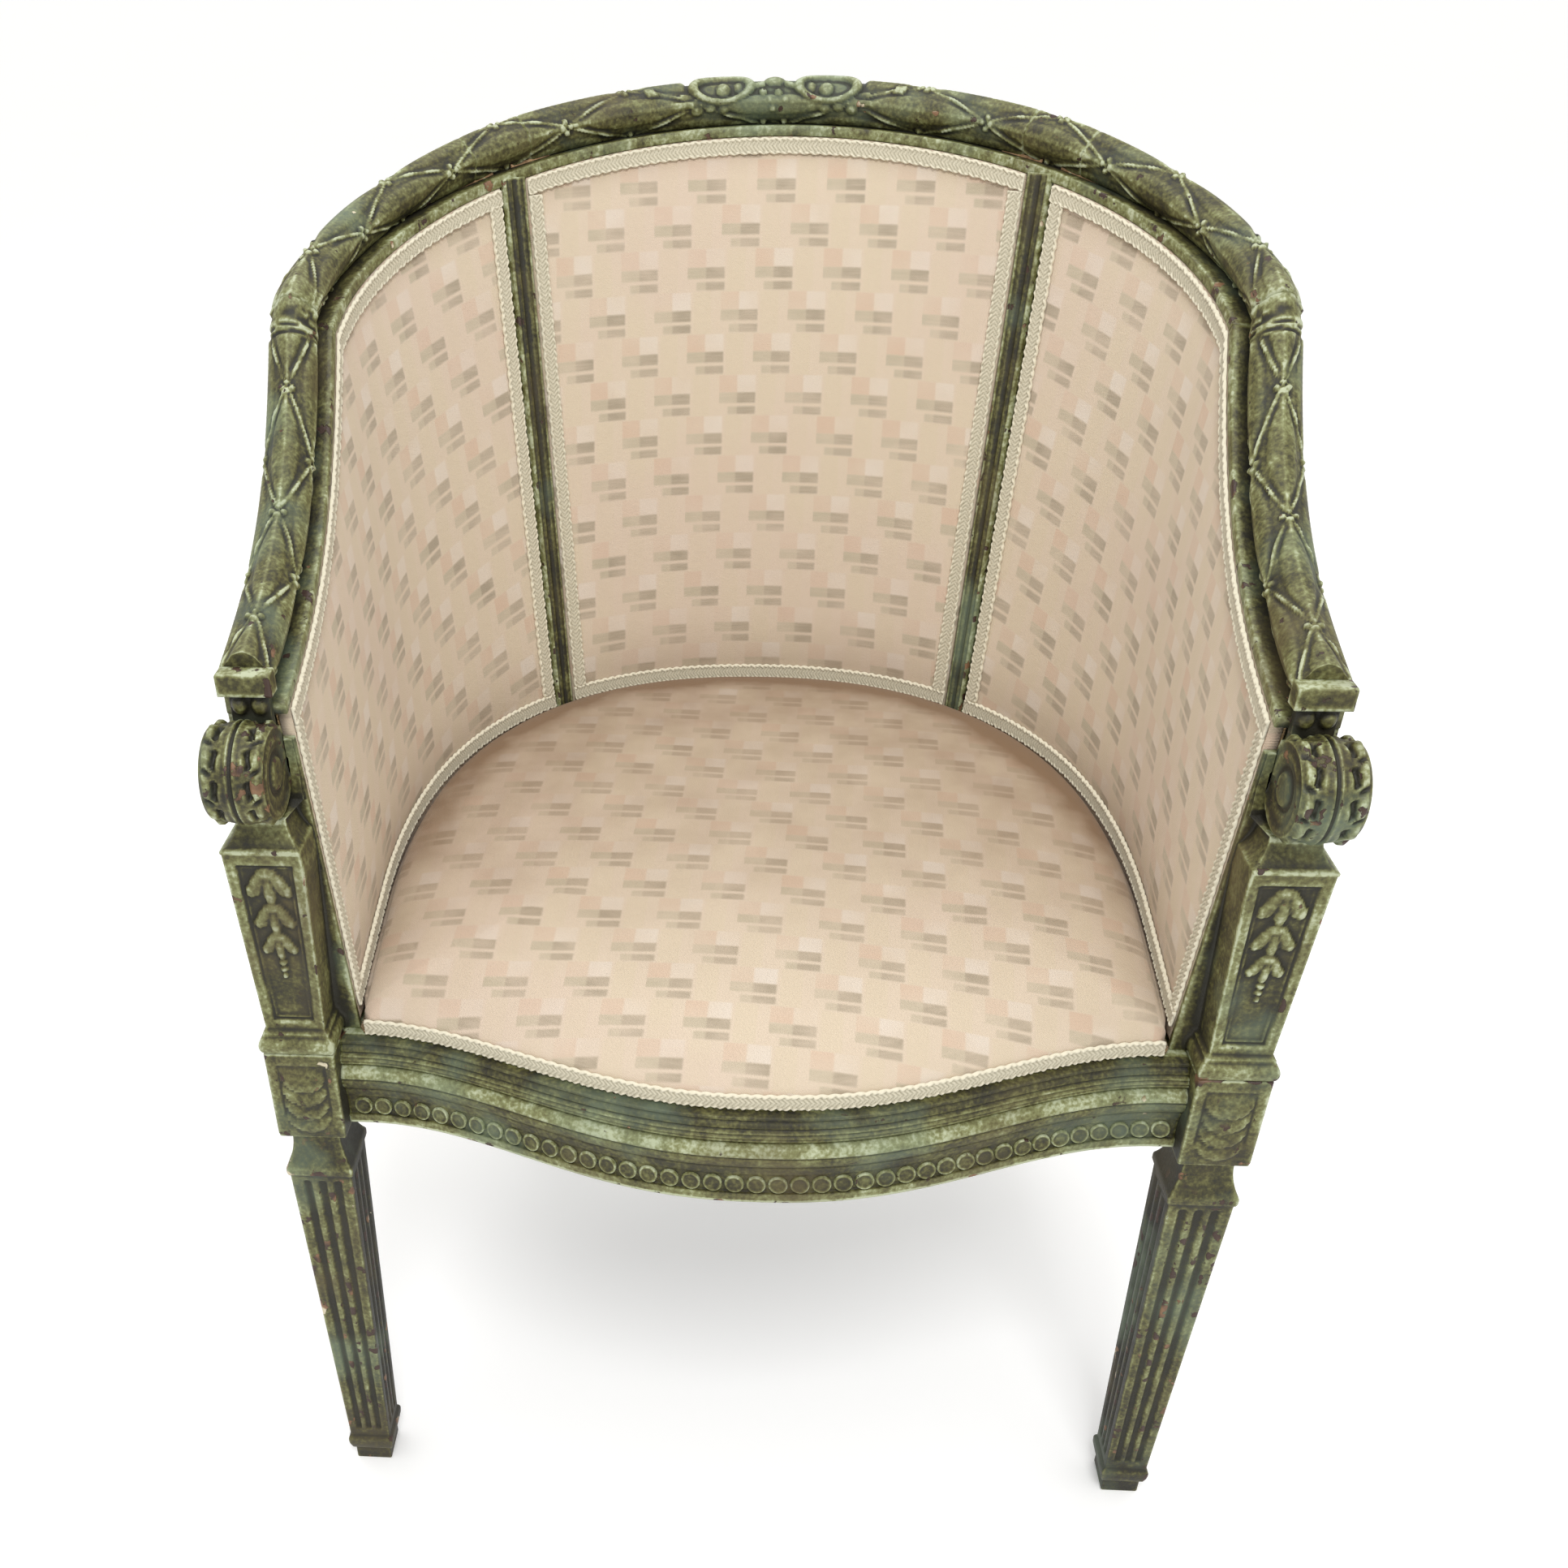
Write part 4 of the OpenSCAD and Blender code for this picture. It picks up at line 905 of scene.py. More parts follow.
@dataclass
class CarvedRail:
    """The carved round that runs over the crest and down the arms, bound with a ribbon lattice."""

    plan: TubPlan
    radius: float = 13.0
    fillet_w: float = 6.0
    fillet_h: float = 6.5
    round_h: float = 25.5
    narrowing: float = 0.16
    pitch: float = 1.25
    lattice: float = 89.5
    crest_phase: float = 5.25
    arm_phase: float = 359.6
    arm_lattice: float = 92.5
    line_angle: float = 88.0
    half_angle: float = 80.0
    tie_half: float = 6.8
    tie_shift: float = 9.5
    ground: float = -1.3
    ribbon: float = 1.05
    berries: Places = ((4.2, 0.0, 2.5), (1.4, 3.2, 2.1), (1.4, -3.2, 2.1), (-1.8, 0.0, 1.8))
    bow_loop: tuple[float, float, float, float] = (34.0, -2.0, 20.5, 10.6)
    bow_folds: Places = ((33.0, -4.5, 5.0, 7.0, 3.6), (23.0, -3.0, 3.6, 6.5, 2.8))
    bow_berries: Places = ((-7.5, -7.0), (-3.0, -11.5), (2.5, -7.4), (7.0, -11.8), (-1, -16.5))
    bow_petals: tuple[float, ...] = (24.0, 33.0, 42.0, 51.0)
    bow_angle: float = 62.0
    bow_end: float = 92.0

    @property
    def girth(self) -> float:
        """Length round the section that the ribbons are spread over."""
        return 2 * self.half_angle * math.pi / 180 * self.radius

    @property
    def knuckle(self) -> float:
        """Length along the rail where the arm begins."""
        return float(self.plan.rail_length(np.array(self.plan.knuckle)))

    def _round(self, angle: Array, start: float) -> Array:
        """Length round the section from a line on it."""
        return (angle - start) * math.pi / 180 * self.radius

    def _crossings(self, l: Array, angle: Array) -> tuple[Array, Array, Array, Array]:
        """Find a place among the ribbons.

        Args:
            l: Length along the rail from the middle of the crest, without sign.
            angle: Angle round the section in degrees.

        Returns:
            Its number in both sets of ribbons, how far the nearest ribbon is, and the ribbons' pitch.
        """
        pitch = np.where(l < self.knuckle, self.lattice, self.arm_lattice)
        a = (l - np.where(l < self.knuckle, self.crest_phase, self.arm_phase)) / pitch
        b = (angle - self.line_angle) / (2 * self.half_angle)
        first, second = a + b, a - b
        slant = np.hypot(1 / pitch, 1 / self.girth)
        off = np.minimum(np.abs(first - np.round(first)), np.abs(second - np.round(second))) / slant
        return first, second, off, pitch

    def _near_tie(self, l: Array) -> Array:
        """Share of the knuckle's binding at a length."""
        return 1 - smooth(np.abs(l - self.knuckle - self.tie_shift), self.tie_half - 1, self.tie_half + 1)

    def shading_and_wear(self, s: Array, angle: Array) -> Array:
        """Tell how a place is painted: ribbons paler, as wear and painted highlight; leaves darker.

        Args:
            s: Share of the run.
            angle: Angle round the section in degrees.

        Returns:
            Darkening, with painted shade in the binding's slots; below 0 is painted pale.
        """
        l = np.abs(self.plan.rail_length(s))
        ribbon = 1 - smooth(self._crossings(l, angle)[2], self.ribbon * 0.8, self.ribbon * 1.8)
        uneven = 0.6 + 0.4 * np.sin(l * 0.37 + angle * 0.11) * np.sin(l * 0.13)
        slot = self._tie_slot(l - self.knuckle - self.tie_shift, self._round(angle, self.line_angle))
        bound = self._near_tie(l)
        pale = np.maximum(ribbon * uneven * smooth(l, 66, 76) * (1 - bound), bound * (0.62 - 1.3 * slot))
        return 0.22 - 0.72 * pale

    def _lattice_relief(self, l: Array, angle: Array) -> Array:
        """Height of the ribbons, leaves and berries.

        Args:
            l: Length along the rail from the middle of the crest, without sign.
            angle: Angle round the section in degrees.

        Returns:
            Height in millimetres.
        """
        wide = self.girth
        first, second, off, pitch = self._crossings(l, angle)
        band = 1 - smooth(off, self.ribbon * 0.7, self.ribbon * 1.5)
        fa, fb = first - np.floor(first) - 0.5, second - np.floor(second) - 0.5
        along, across = (fa + fb) / 2, np.abs(fa - fb) / 2 * wide
        reach = np.maximum(0.27 * wide * np.cos(np.clip(along / 0.47, -1, 1) * math.pi / 2) ** 0.8, 0.01)
        leaf = np.clip(1 - (across / reach) ** 2, 0, 1) ** 0.55
        vein = np.exp(-across / 0.9) * 0.7 + 0.05 * np.sin(along * 150 + across * 1.7) * leaf
        leaf = leaf * (2.7 + vein * leaf)
        da, db = first - np.round(first), second - np.round(second)
        dl, dw = (da + db) / 2 * pitch, (da - db) / 2 * wide
        height = self.ground + np.maximum(leaf, band * (1.9 + 0.5 * np.sin(l * 0.31 + angle * 0.05)))
        height = height - bell(off - self.ribbon * 2.3, 1.2) * 0.5
        for at, across_at, size in self.berries:
            height = np.maximum(height, -0.4 + 2.6 * dome(np.hypot(dl - at, dw - across_at), size))
        return height

    def _tie_slot(self, dl: Array, w: Array) -> Array:
        """Depth share of the slots between the strands of the knuckle's binding.

        Args:
            dl: Length from the binding's middle.
            w: Length round the section.

        Returns:
            Shares from 0 to 1.
        """
        place = (np.where(dl < -2, 2 * dl + 2, dl) + 0.1 * w) / 3.3
        lens = smooth(np.cos(2 * math.pi * (w / 23 + 0.38 * np.round(place))), -0.75, 0.3)
        return bell(place - np.round(place), 0.08 + 0.12 * lens) * smooth(lens, 0.02, 0.3)

    def _tie_relief(self, dl: Array, w: Array) -> Array:
        """Height of the ribbon wound across the rail at a knuckle."""
        return 0.5 + 0.5 * np.cos(0.4 * dl) - 1.5 * self._tie_slot(dl, w)

    def _bow_relief(self, x: Array, w: Array, height: Array) -> Array:
        """Add the bow at the middle of the crest.

        Args:
            x: Length along the rail, with its sign.
            w: Length round the section from the bow's own line, positive to the top.
            height: The relief so far.

        Returns:
            The relief with the bow.
        """
        a = np.abs(x)
        inside = 1 - smooth(a, 54, 60)
        height = mix(height, self.ground - 0.4, inside * (1 - smooth(-w, 6, 10)))
        tail = np.abs(w + 1.5 + (a - 10) * 0.42 - 0.0042 * (a - 10) ** 2)
        tail_h = -0.4 + 2.1 * (1 - smooth(tail, 1.2, 2.6))
        height = np.where((a > 6) & (a < 68), np.maximum(height, tail_h), height)
        second = np.abs(w + 13 - (a - 22) * 0.16)
        second_h = -0.9 + 1.9 * (1 - smooth(second, 1.2, 3.0))
        height = np.where((a > 16) & (a < 62), np.maximum(height, second_h), height)
        for k, tip in enumerate(self.bow_petals):
            petal = np.hypot((a - tip) / 1.1, w + 14.0 + (k % 2) * 1.2)
            height = np.maximum(height, -1.0 + 2.6 * dome(petal, 4.2))
        at, up, long, high = self.bow_loop
        ring = np.hypot((a - at) / long, (w - up) / high)
        height = np.where(ring < 0.86, -1.6, height)
        for at, up, long, high, rise in self.bow_folds:
            fold = np.hypot((a - at) / long, (w - up) / high)
            height = np.where(ring < 0.8, np.maximum(height, -1.6 + rise * dome(fold, 1.0)), height)
        wall = np.abs(ring - 0.9)
        height = np.maximum(height, -1 + (3.7 + 0.02 * a) * dome(wall, 0.19))
        knot = np.hypot(a / 7.0, (w - 2.5) / 5.0)
        height = np.maximum(height, -0.6 + 3.4 * dome(knot, 1.0))
        for at, up in self.bow_berries:
            height = np.maximum(height, -1 + 3.6 * dome(np.hypot(x - at, w - up), 2.7))
        tab = np.maximum(np.abs(a - 80 - 0.25 * w), np.abs(w + 0.5))
        return np.maximum(height, -0.6 + 2.2 * (1 - smooth(tab, 3.0, 4.0)))

    def relief(self, s: Array, angle: Array) -> Array:
        """Height of all the carving at a place on the rail.

        Args:
            s: Share of the run.
            angle: Angle round the section in degrees.

        Returns:
            Height in millimetres.
        """
        l = self.plan.rail_length(s)
        size = np.abs(l)
        height = self._lattice_relief(size, angle)
        bound = self._tie_relief(size - self.knuckle - self.tie_shift, self._round(angle, self.line_angle))
        height = mix(height, bound, self._near_tie(size))
        bow = self._bow_relief(l, self._round(angle, self.bow_angle), height)
        height = np.where(size < self.bow_end, bow, height)
        edge = smooth(angle, -74, -58) * (1 - smooth(angle, 165, 180))
        end = smooth((1 - np.abs(s)) * self.plan.top_run, 1, 5)
        return height * edge * end

    def _section(self) -> tuple[Array, Array, Array]:
        """Give the section's places, the angle of those on the round, and which those are.

        Returns:
            Places, angles, and a mark on the round's own places.
        """
        start = math.degrees(math.asin((self.round_h - self.radius) / self.radius))
        angles = np.linspace(-start, 180, 58)
        centre = (-self.fillet_w - self.radius, self.fillet_h + self.round_h - self.radius)
        radial = np.stack([np.cos(np.radians(angles)), np.sin(np.radians(angles))], 1)
        round_part = centre + self.radius * radial
        lead = [
            [-9.2, 0], [-4, 0], [-0.6, 0], [0, 0.6], [0, 3], [0, 5.8], [-0.7, 6.5], [-4, 6.5], [-8, 6.4],
            [-12, 6.1],
        ]
        trail = [
            [-32, 12], [-32, 5], [-32, 0.6], [-31.4, 0], [-27, 0], [-23, 0], [-23, -7], [-23, -14],
            [-16, -14], [-9.2, -14],
        ]
        places = np.vstack([lead, round_part, trail])
        mark = np.zeros(len(places), bool)
        mark[len(lead) : len(lead) + len(angles)] = True
        full = np.zeros(len(places))
        full[mark] = angles
        return places, full, mark

    def skin(self, first: float, last: float, inset: float = 0.12) -> Skin:
        """Make one piece of the rail.

        Args:
            first: Share of the run where it starts.
            last: Share where it ends.
            inset: Gap in millimetres left at each joint.

        Returns:
            The piece's skin.
        """
        plan = self.plan
        gap = inset / plan.top_run
        s = steps(first + gap, last - gap, self.pitch / plan.top_run * 0.92)
        places, angles, mark = self._section()
        sign = 1 if first + last >= 0 else -1
        joint = np.minimum(np.abs(s - first), np.abs(s - last)) * plan.top_run
        height = self.relief(s[:, None], angles[None, :]) * mark
        height = height - (np.exp(-joint / 0.8) * 0.5)[:, None] * mark
        radial = np.stack([np.cos(np.radians(angles)), np.sin(np.radians(angles))], -1)
        q = places[None] + height[..., None] * radial[None]
        point = np.column_stack([plan.top_plan(s), plan.top_z(s)])
        ahead, behind = np.minimum(s + plan.near, 1), np.maximum(s - plan.near, -1)
        level, climb = plan.top_plan(ahead) - plan.top_plan(behind), plan.top_z(ahead) - plan.top_z(behind)
        t = unit(np.column_stack([level, climb]))
        flat = plan.inward(s, plan.top_z(s))
        n = np.column_stack([flat, np.zeros(len(s))])
        b = np.cross(n, t)
        low = plan.plan(s, plan.top_z(s) - 14) - plan.top_plan(s)
        lean = (low * flat).sum(1)
        along = np.clip((np.abs(s) - plan.stile) / (plan.knuckle - plan.stile), 0, 1)
        k = self.narrowing * np.sin(math.pi * along)
        u, w = q[..., 0], q[..., 1]
        u = np.where(u < -plan.top_t, u * (1 - k[:, None]), u)
        w = np.where(w > self.fillet_h, w * (1 - k[:, None] / 2), w)
        u = np.where(w < -1, u + lean[:, None], u)
        out = point[:, None] + u[..., None] * n[:, None] + w[..., None] * b[:, None]
        out[..., 1] = np.maximum(out[..., 1], plan.arm_front - 0.6)
        # Painted shade: the fillet and the back of the section are darkened.
        soil = np.where(mark, self.shading_and_wear(s[:, None], angles[None]), 0.72)
        made = Skin()
        made.grid(out[::sign], soil=soil[::sign])
        return made

    def build(self, bench: Bench) -> None:
        """Make the five lengths of the rail that lie between the stiles, knuckles and scrolls.

        Args:
            bench: Places the pieces.
        """
        inner, outer = self.plan.stile - self.plan.head_half, self.plan.stile + self.plan.head_half
        bench.place(self.skin(-inner, inner), "carved_crest_centre", Finish.PAINT, ["crest_centre"])
        bench.both(self.skin(outer, self.plan.knuckle), "carved_crest_side", Finish.PAINT, "crest_side")
        bench.both(self.skin(self.plan.knuckle, 1.0), "carved_arm_rail", Finish.PAINT, "arm_rail")


# Posts, legs and scrolls


Carve = Callable[[int, Array, Array], Array]


@dataclass
class CornerStack:
    """A stack of cornered outlines, counter-clockwise from above, with carving on its sides."""

    corners: Array
    counts: Sequence[int]
    chamfer: float = 0.6

    def points(self, carve: Carve | None = None) -> Array:
        """Spread points over the sides.

        Args:
            carve: Gives the height of the carving for a side, places across it and points.

        Returns:
            Rows by columns by 3.
        """
        out = []
        n = self.corners.shape[1]
        for side, count in enumerate(self.counts):
            a, b = self.corners[:, side], self.corners[:, (side + 1) % n]
            run = b - a
            length = np.maximum(np.linalg.norm(run, axis=1), 1e-6)
            trim = min(self.chamfer / length.max(), 0.3)
            t = np.linspace(trim, 1 - trim, count)
            p = a[:, None] + run[:, None] * t[None, :, None]
            normal = np.stack([run[:, 1], -run[:, 0], np.zeros(len(run))], 1) / length[:, None]
            if carve:
                across = (t[None] - 0.5) * length[:, None]
                p = p + carve(side, across, p)[..., None] * normal[:, None]
            out.append(p)
        return np.concatenate(out, 1)


def rectangle(x0: Array, x1: Array, y0: Array, y1: Array, z: Array) -> Array:
    """Corners of level rectangles, one for each height."""
    x0, x1, y0, y1, z = np.broadcast_arrays(x0, x1, y0, y1, z)
    return np.stack([np.stack(c, -1) for c in ((x0, y0, z), (x1, y0, z), (x1, y1, z), (x0, y1, z))], 1)


def husk(x: Array, down: Array, height: float, width: float) -> Array:
    """Relief of a drooping flower of three petals, hung from its tip.

    Args:
        x: Place across.
        down: Distance below the tip.
        height: Its length.
        width: Its width.

    Returns:
        Height of the relief in millimetres.
    """
    t = down / height
    spread = 0.35 + 0.65 * smooth(t, 0.0, 0.7)
    out = np.zeros_like(x)
    for side in (-1, 1):
        petal = np.hypot((x - side * width * 0.31 * spread) / (width * 0.2), (t - 0.42) / 0.38)
        out = np.maximum(out, 2.8 * dome(petal, 1.0))
        curl = np.hypot((x - side * width * 0.4) / (width * 0.12), (t - 0.62) / 0.2)
        out = np.maximum(out, 3.0 * dome(curl, 1.0))
    petal = np.hypot(x / (width * 0.15), (t - 0.6) / 0.46)
    out = np.maximum(out, 3.2 * dome(petal, 1.0))
    cup = np.hypot(x / (width * 0.26), (t - 0.16) / 0.17)
    return np.maximum(out, 3.1 * dome(cup, 1.0))


@dataclass
class FrontLeg:
    """Turned-square leg with flutes, a collar, a hollow moulding and a carved block."""

    x: float = 267.3
    y: float = 20.8
    plinth: tuple[float, float] = (25.0, 13.0)
    foot: tuple[float, float] = (32.0, 20.0)
    shaft: tuple[float, float] = (28.5, 38.5)
    block: float = 41.6
    leg_h: float = 293.0
    collar_h: float = 7.0
    cavetto_h: float = 26.5
    seat_top: float = 382.0
    flute: float = 1.9
    panel_half: float = 14.6
    scale_pitch: float = 10.4
    scale_r: float = 13.6
    edges: tuple[float, ...] = (12.9, 13.1, 286.2, 286.6, 318.4, 318.8, 319.2, 319.6)

    def width(self, z: Array) -> Array:
        """Width of the leg at a height.

        Args:
            z: Height above the floor.

        Returns:
            The width.
        """
        plinth_w, plinth_h = self.plinth
        foot_w, foot_h = self.foot
        neck = self.leg_h - self.collar_h
        known = [
            (0, plinth_w - 1.5), (1, plinth_w), (plinth_h, plinth_w), (plinth_h + 0.8, 28.6),
            (plinth_h + foot_h * 0.3, 31.4), (plinth_h + foot_h * 0.5, foot_w),
            (plinth_h + foot_h * 0.62, 31.6),
            (plinth_h + foot_h * 0.72, 28.4), (plinth_h + foot_h, self.shaft[0]), (neck - 0.4, self.shaft[1]),
            (neck, self.shaft[1] + 1), (neck + 0.7, self.block - 0.7), (neck + 1.8, self.block),
            (self.leg_h - 1.3, self.block), (self.leg_h, self.block - 0.8),
        ]
        w = np.interp(z, [k[0] for k in known], [k[1] for k in known])
        t = (z - self.leg_h) / self.cavetto_h
        hollow = 29.5 + 10.6 * np.clip(1 - t / 0.82, 0, 1) ** 2.1
        hollow = mix(hollow, self.block - 0.6, smooth(t, 0.955, 0.985))
        w = np.where((t > 0) & (t < 1), hollow, w)
        return np.where(
            t >= 1, self.block - 0.8 * (1 - smooth(z, self.seat_top - 62.5, self.seat_top - 61.2)), w
        )

    def _carve(self, side: int, x: Array, p: Array) -> Array:
        """Height of the flutes and of the block's panel.

        Args:
            side: Side of the stack, 0 in front and 1 outside.
            x: Place across it.
            p: The points.

        Returns:
            Height in millimetres.
        """
        z = p[..., 2]
        w = self.width(z)
        pitch, reach = w / 4, w / 38.5 * 3.0
        top = self.leg_h - self.collar_h - 4.5
        low = self.plinth[1] + self.foot[1] + 2.0
        off = np.abs(x - np.clip(np.round(x / pitch), -1, 1) * pitch)
        beyond = np.maximum(z - top + reach, 0) + np.maximum(low + reach - z, 0)
        cut = -self.flute * dome(np.hypot(off, beyond) / reach, 1.0)
        out = np.where((z > low - 1) & (z < top + 1), cut, 0.0)
        if side > 1:
            return out
        block_foot = self.leg_h + self.cavetto_h
        high, half = self.seat_top - 7.5, self.panel_half
        last = block_foot + 19
        inside = np.minimum(half - np.abs(x), high - z)
        inside = np.where(z < last, np.minimum(inside, half - np.hypot(x, (z - last) * 0.95)), inside)
        sunk = smooth(inside, 0, 1.1)
        scales = np.full_like(x, -0.3)
        for k in range(4):
            centre = high - 6.5 - self.scale_pitch * k
            far = np.hypot(x, z - centre)
            rim = 3.0 * smooth((centre - z) / 13, -0.7, 1.0)
            disc = np.where(far < self.scale_r, rim * (0.7 + 0.3 * dome(far, self.scale_r + 0.3)), -0.3)
            scales = np.where(scales < -0.2, disc, scales)
        return np.where(z > block_foot, sunk * (-1.0 + scales), out)

    def build(self, bench: Bench) -> None:
        """Make both legs.

        Args:
            bench: Places the pieces.
        """
        z = np.unique(np.concatenate([steps(0, self.seat_top, 1.45), self.edges]))
        half = self.width(z) / 2
        corners = rectangle(self.x - half, self.x + half, self.y - half, self.y + half, z)
        stack = CornerStack(corners, (28, 28, 28, 28), 0.9)
        # Painted shade: the back and inner faces are darkened below the seat; the leg also darkens towards
        # the foot, and the block is painted paler.
        sides = np.repeat([0.1, 0.0, 1.0, 1.1], 28)[None]
        bright = 0.22 * smooth(z, 321, 324) * (1 - smooth(z, 374, 378))
        painted_shade_and_tone = sides * (1 - smooth(z, 350, 382))[:, None] + (0.5 * smooth(z, 90, 0) - bright)[:, None]
        skin = Skin()
        skin.grid(stack.points(self._carve), soil=painted_shade_and_tone)
        bench.both(skin, "carved_front_leg", Finish.PAINT_WORN, "front_leg", reach=1.1)


@dataclass
class ArmPost:
    """Panelled pilaster with its torus, neck and the wing behind it."""

    leg: FrontLeg
    plan: TubPlan
    foot_z: float = 398.5
    top_z: float = 518.5
    base_w: float = 34.6
    top_w: float = 43.6
    neck_h: float = 17.5
    neck_w: float = 27.0
    head_w: float = 37.0
    head_z: float = 573.0
    back_y: float = 46.0
    lip: float = 4.0
    frame_in: float = 9.2
    husks: Places = ((2.5, 24.0, 25.0), (25.5, 21.0, 22.5), (45.0, 18.5, 19.5))
    beads: Places = ((66.0, 2.2), (70.5, 2.0), (75.0, 1.7))

    def width(self, z: Array) -> Array:
        """Width of the pilaster at a height.

        Args:
            z: Height above the floor.

        Returns:
            The width.
        """
        low = self.plan.seat_top
        torus = 36.5 + 7.9 * dome(z - low - 6.2, 6.2)
        shaft = mix(self.base_w, self.top_w, (z - self.foot_z) / (self.top_z - self.foot_z))
        w = np.where(z < low + 12.4, torus, shaft)
        w = np.where((z >= low + 12.4) & (z < low + 14.6), 38.6, w)
        w = np.where((z >= low + 14.6) & (z < self.foot_z), 36.0, w)
        t = (z - self.top_z) / self.neck_h
        neck = self.neck_w + (self.top_w - self.neck_w) * np.clip(1 - t, 0, 1) ** 2.2
        neck = np.where(t < 0.12, self.top_w + 1.2, neck)
        w = np.where((t >= 0) & (t <= 1), neck, w)
        return np.where(t > 1, self.head_w, w)

    def _carve(self, side: int, x: Array, p: Array) -> Array:
        """Height of the sunk panels with their husks and beads.

        Args:
            side: Side of the stack, 1 in front and 2 outside.
            x: Place across it.
            p: The points.

        Returns:
            Height in millimetres.
        """
        if side not in (1, 2):
            return np.zeros_like(x)
        z = p[..., 2]
        if side == 2:
            x = p[..., 1] - self.leg.y
        low, high = self.foot_z + 6.5, self.top_z - 6.5
        half = self.width(z) / 2 - 5.2
        inside = np.minimum(np.minimum(half - np.abs(x), z - low), high - z)
        sunk = -2.6 * smooth(inside, 0, 1.2) + bell(inside - 2.2, 0.8)
        out = np.where(inside > 0, sunk, -0.5 * bell(inside, 0.5))
        carved = np.zeros_like(x)
        for down, height, width in self.husks:
            carved = np.maximum(carved, husk(x, high - down - z, height, width))
        for down, radius in self.beads:
            carved = np.maximum(carved, 2.8 * dome(np.hypot(x, z - (high - down)), radius))
        return np.where(inside > 0.5, out + carved, out)

    def build(self, bench: Bench) -> None:
        """Make both posts.

        Args:
            bench: Places the pieces.
        """
        plan = self.plan
        z = steps(plan.seat_top, self.head_z, 1.2)
        w = self.width(z)
        wing = mix(
            plan.side_x, plan.side_x + plan.arm_flare, (z - plan.seat_top) / (plan.arm_h - plan.seat_top)
        )
        front = np.where(z > self.top_z + self.neck_h, plan.arm_front - 1, self.leg.y - w / 2)
        x0, x1, x2 = np.maximum(self.leg.x - w / 2, wing + 1), self.leg.x + w / 2, wing + self.frame_in
        y0, lip = np.full_like(z, plan.arm_front), np.full_like(z, plan.arm_front + self.lip)
        back = np.full_like(z, self.back_y)
        ring = (
            (x0, y0), (x0, front), (x1, front), (x1, back), (x2, back), (x2, lip), (wing, lip), (wing, y0)
        )
        corners = np.stack([np.stack([a, b, z], -1) for a, b in ring], 1)
        stack = CornerStack(corners, (12, 34, 34, 12, 8, 5, 4, 4), 0.5)
        points = stack.points(self._carve)
        # Painted shade: the sunk panels and the faces turned back and inwards are darkened; the rest is
        # painted a little paler.
        deep = np.linalg.norm(points - stack.points(), axis=2)
        behind = np.repeat([0.3, 0, 0, 0.3, 0.6, 0.6, 0.5, 0.5], stack.counts)[None]
        skin = Skin()
        skin.grid(points, soil=-0.12 + 0.42 * smooth(deep, 0.8, 2.0) + behind)
        self._add_shoulder(skin)
        bench.both(skin, "carved_arm_post", Finish.PAINT, "arm_post", reach=0.9)

    def _add_shoulder(self, skin: Skin) -> None:
        """Add the block that closes the post up to the underside of the arm.

        Args:
            skin: The post's skin.
        """
        plan = self.plan
        y = steps(plan.arm_front, self.back_y - 0.5, 1.5)
        arm = plan.top_line[-1:-120:-1]
        inner = np.interp(y, arm[:, 1], arm[:, 0]) + plan.top_t + 0.2
        outer = inner + 8.6
        low, high = np.full_like(y, self.head_z), np.interp(y, arm[:, 1], plan.heights[-1:-120:-1]) - 0.2
        ring = ((inner, low), (outer, low), (outer, high), (inner, high))
        corners = np.stack([np.stack([x, y, z], -1) for x, z in ring], 1)
        points = CornerStack(corners, (7, 10, 7, 10), 0.4).points()
        # Painted shade: the block under the arm is darkened.
        skin.grid(points, soil=0.3)


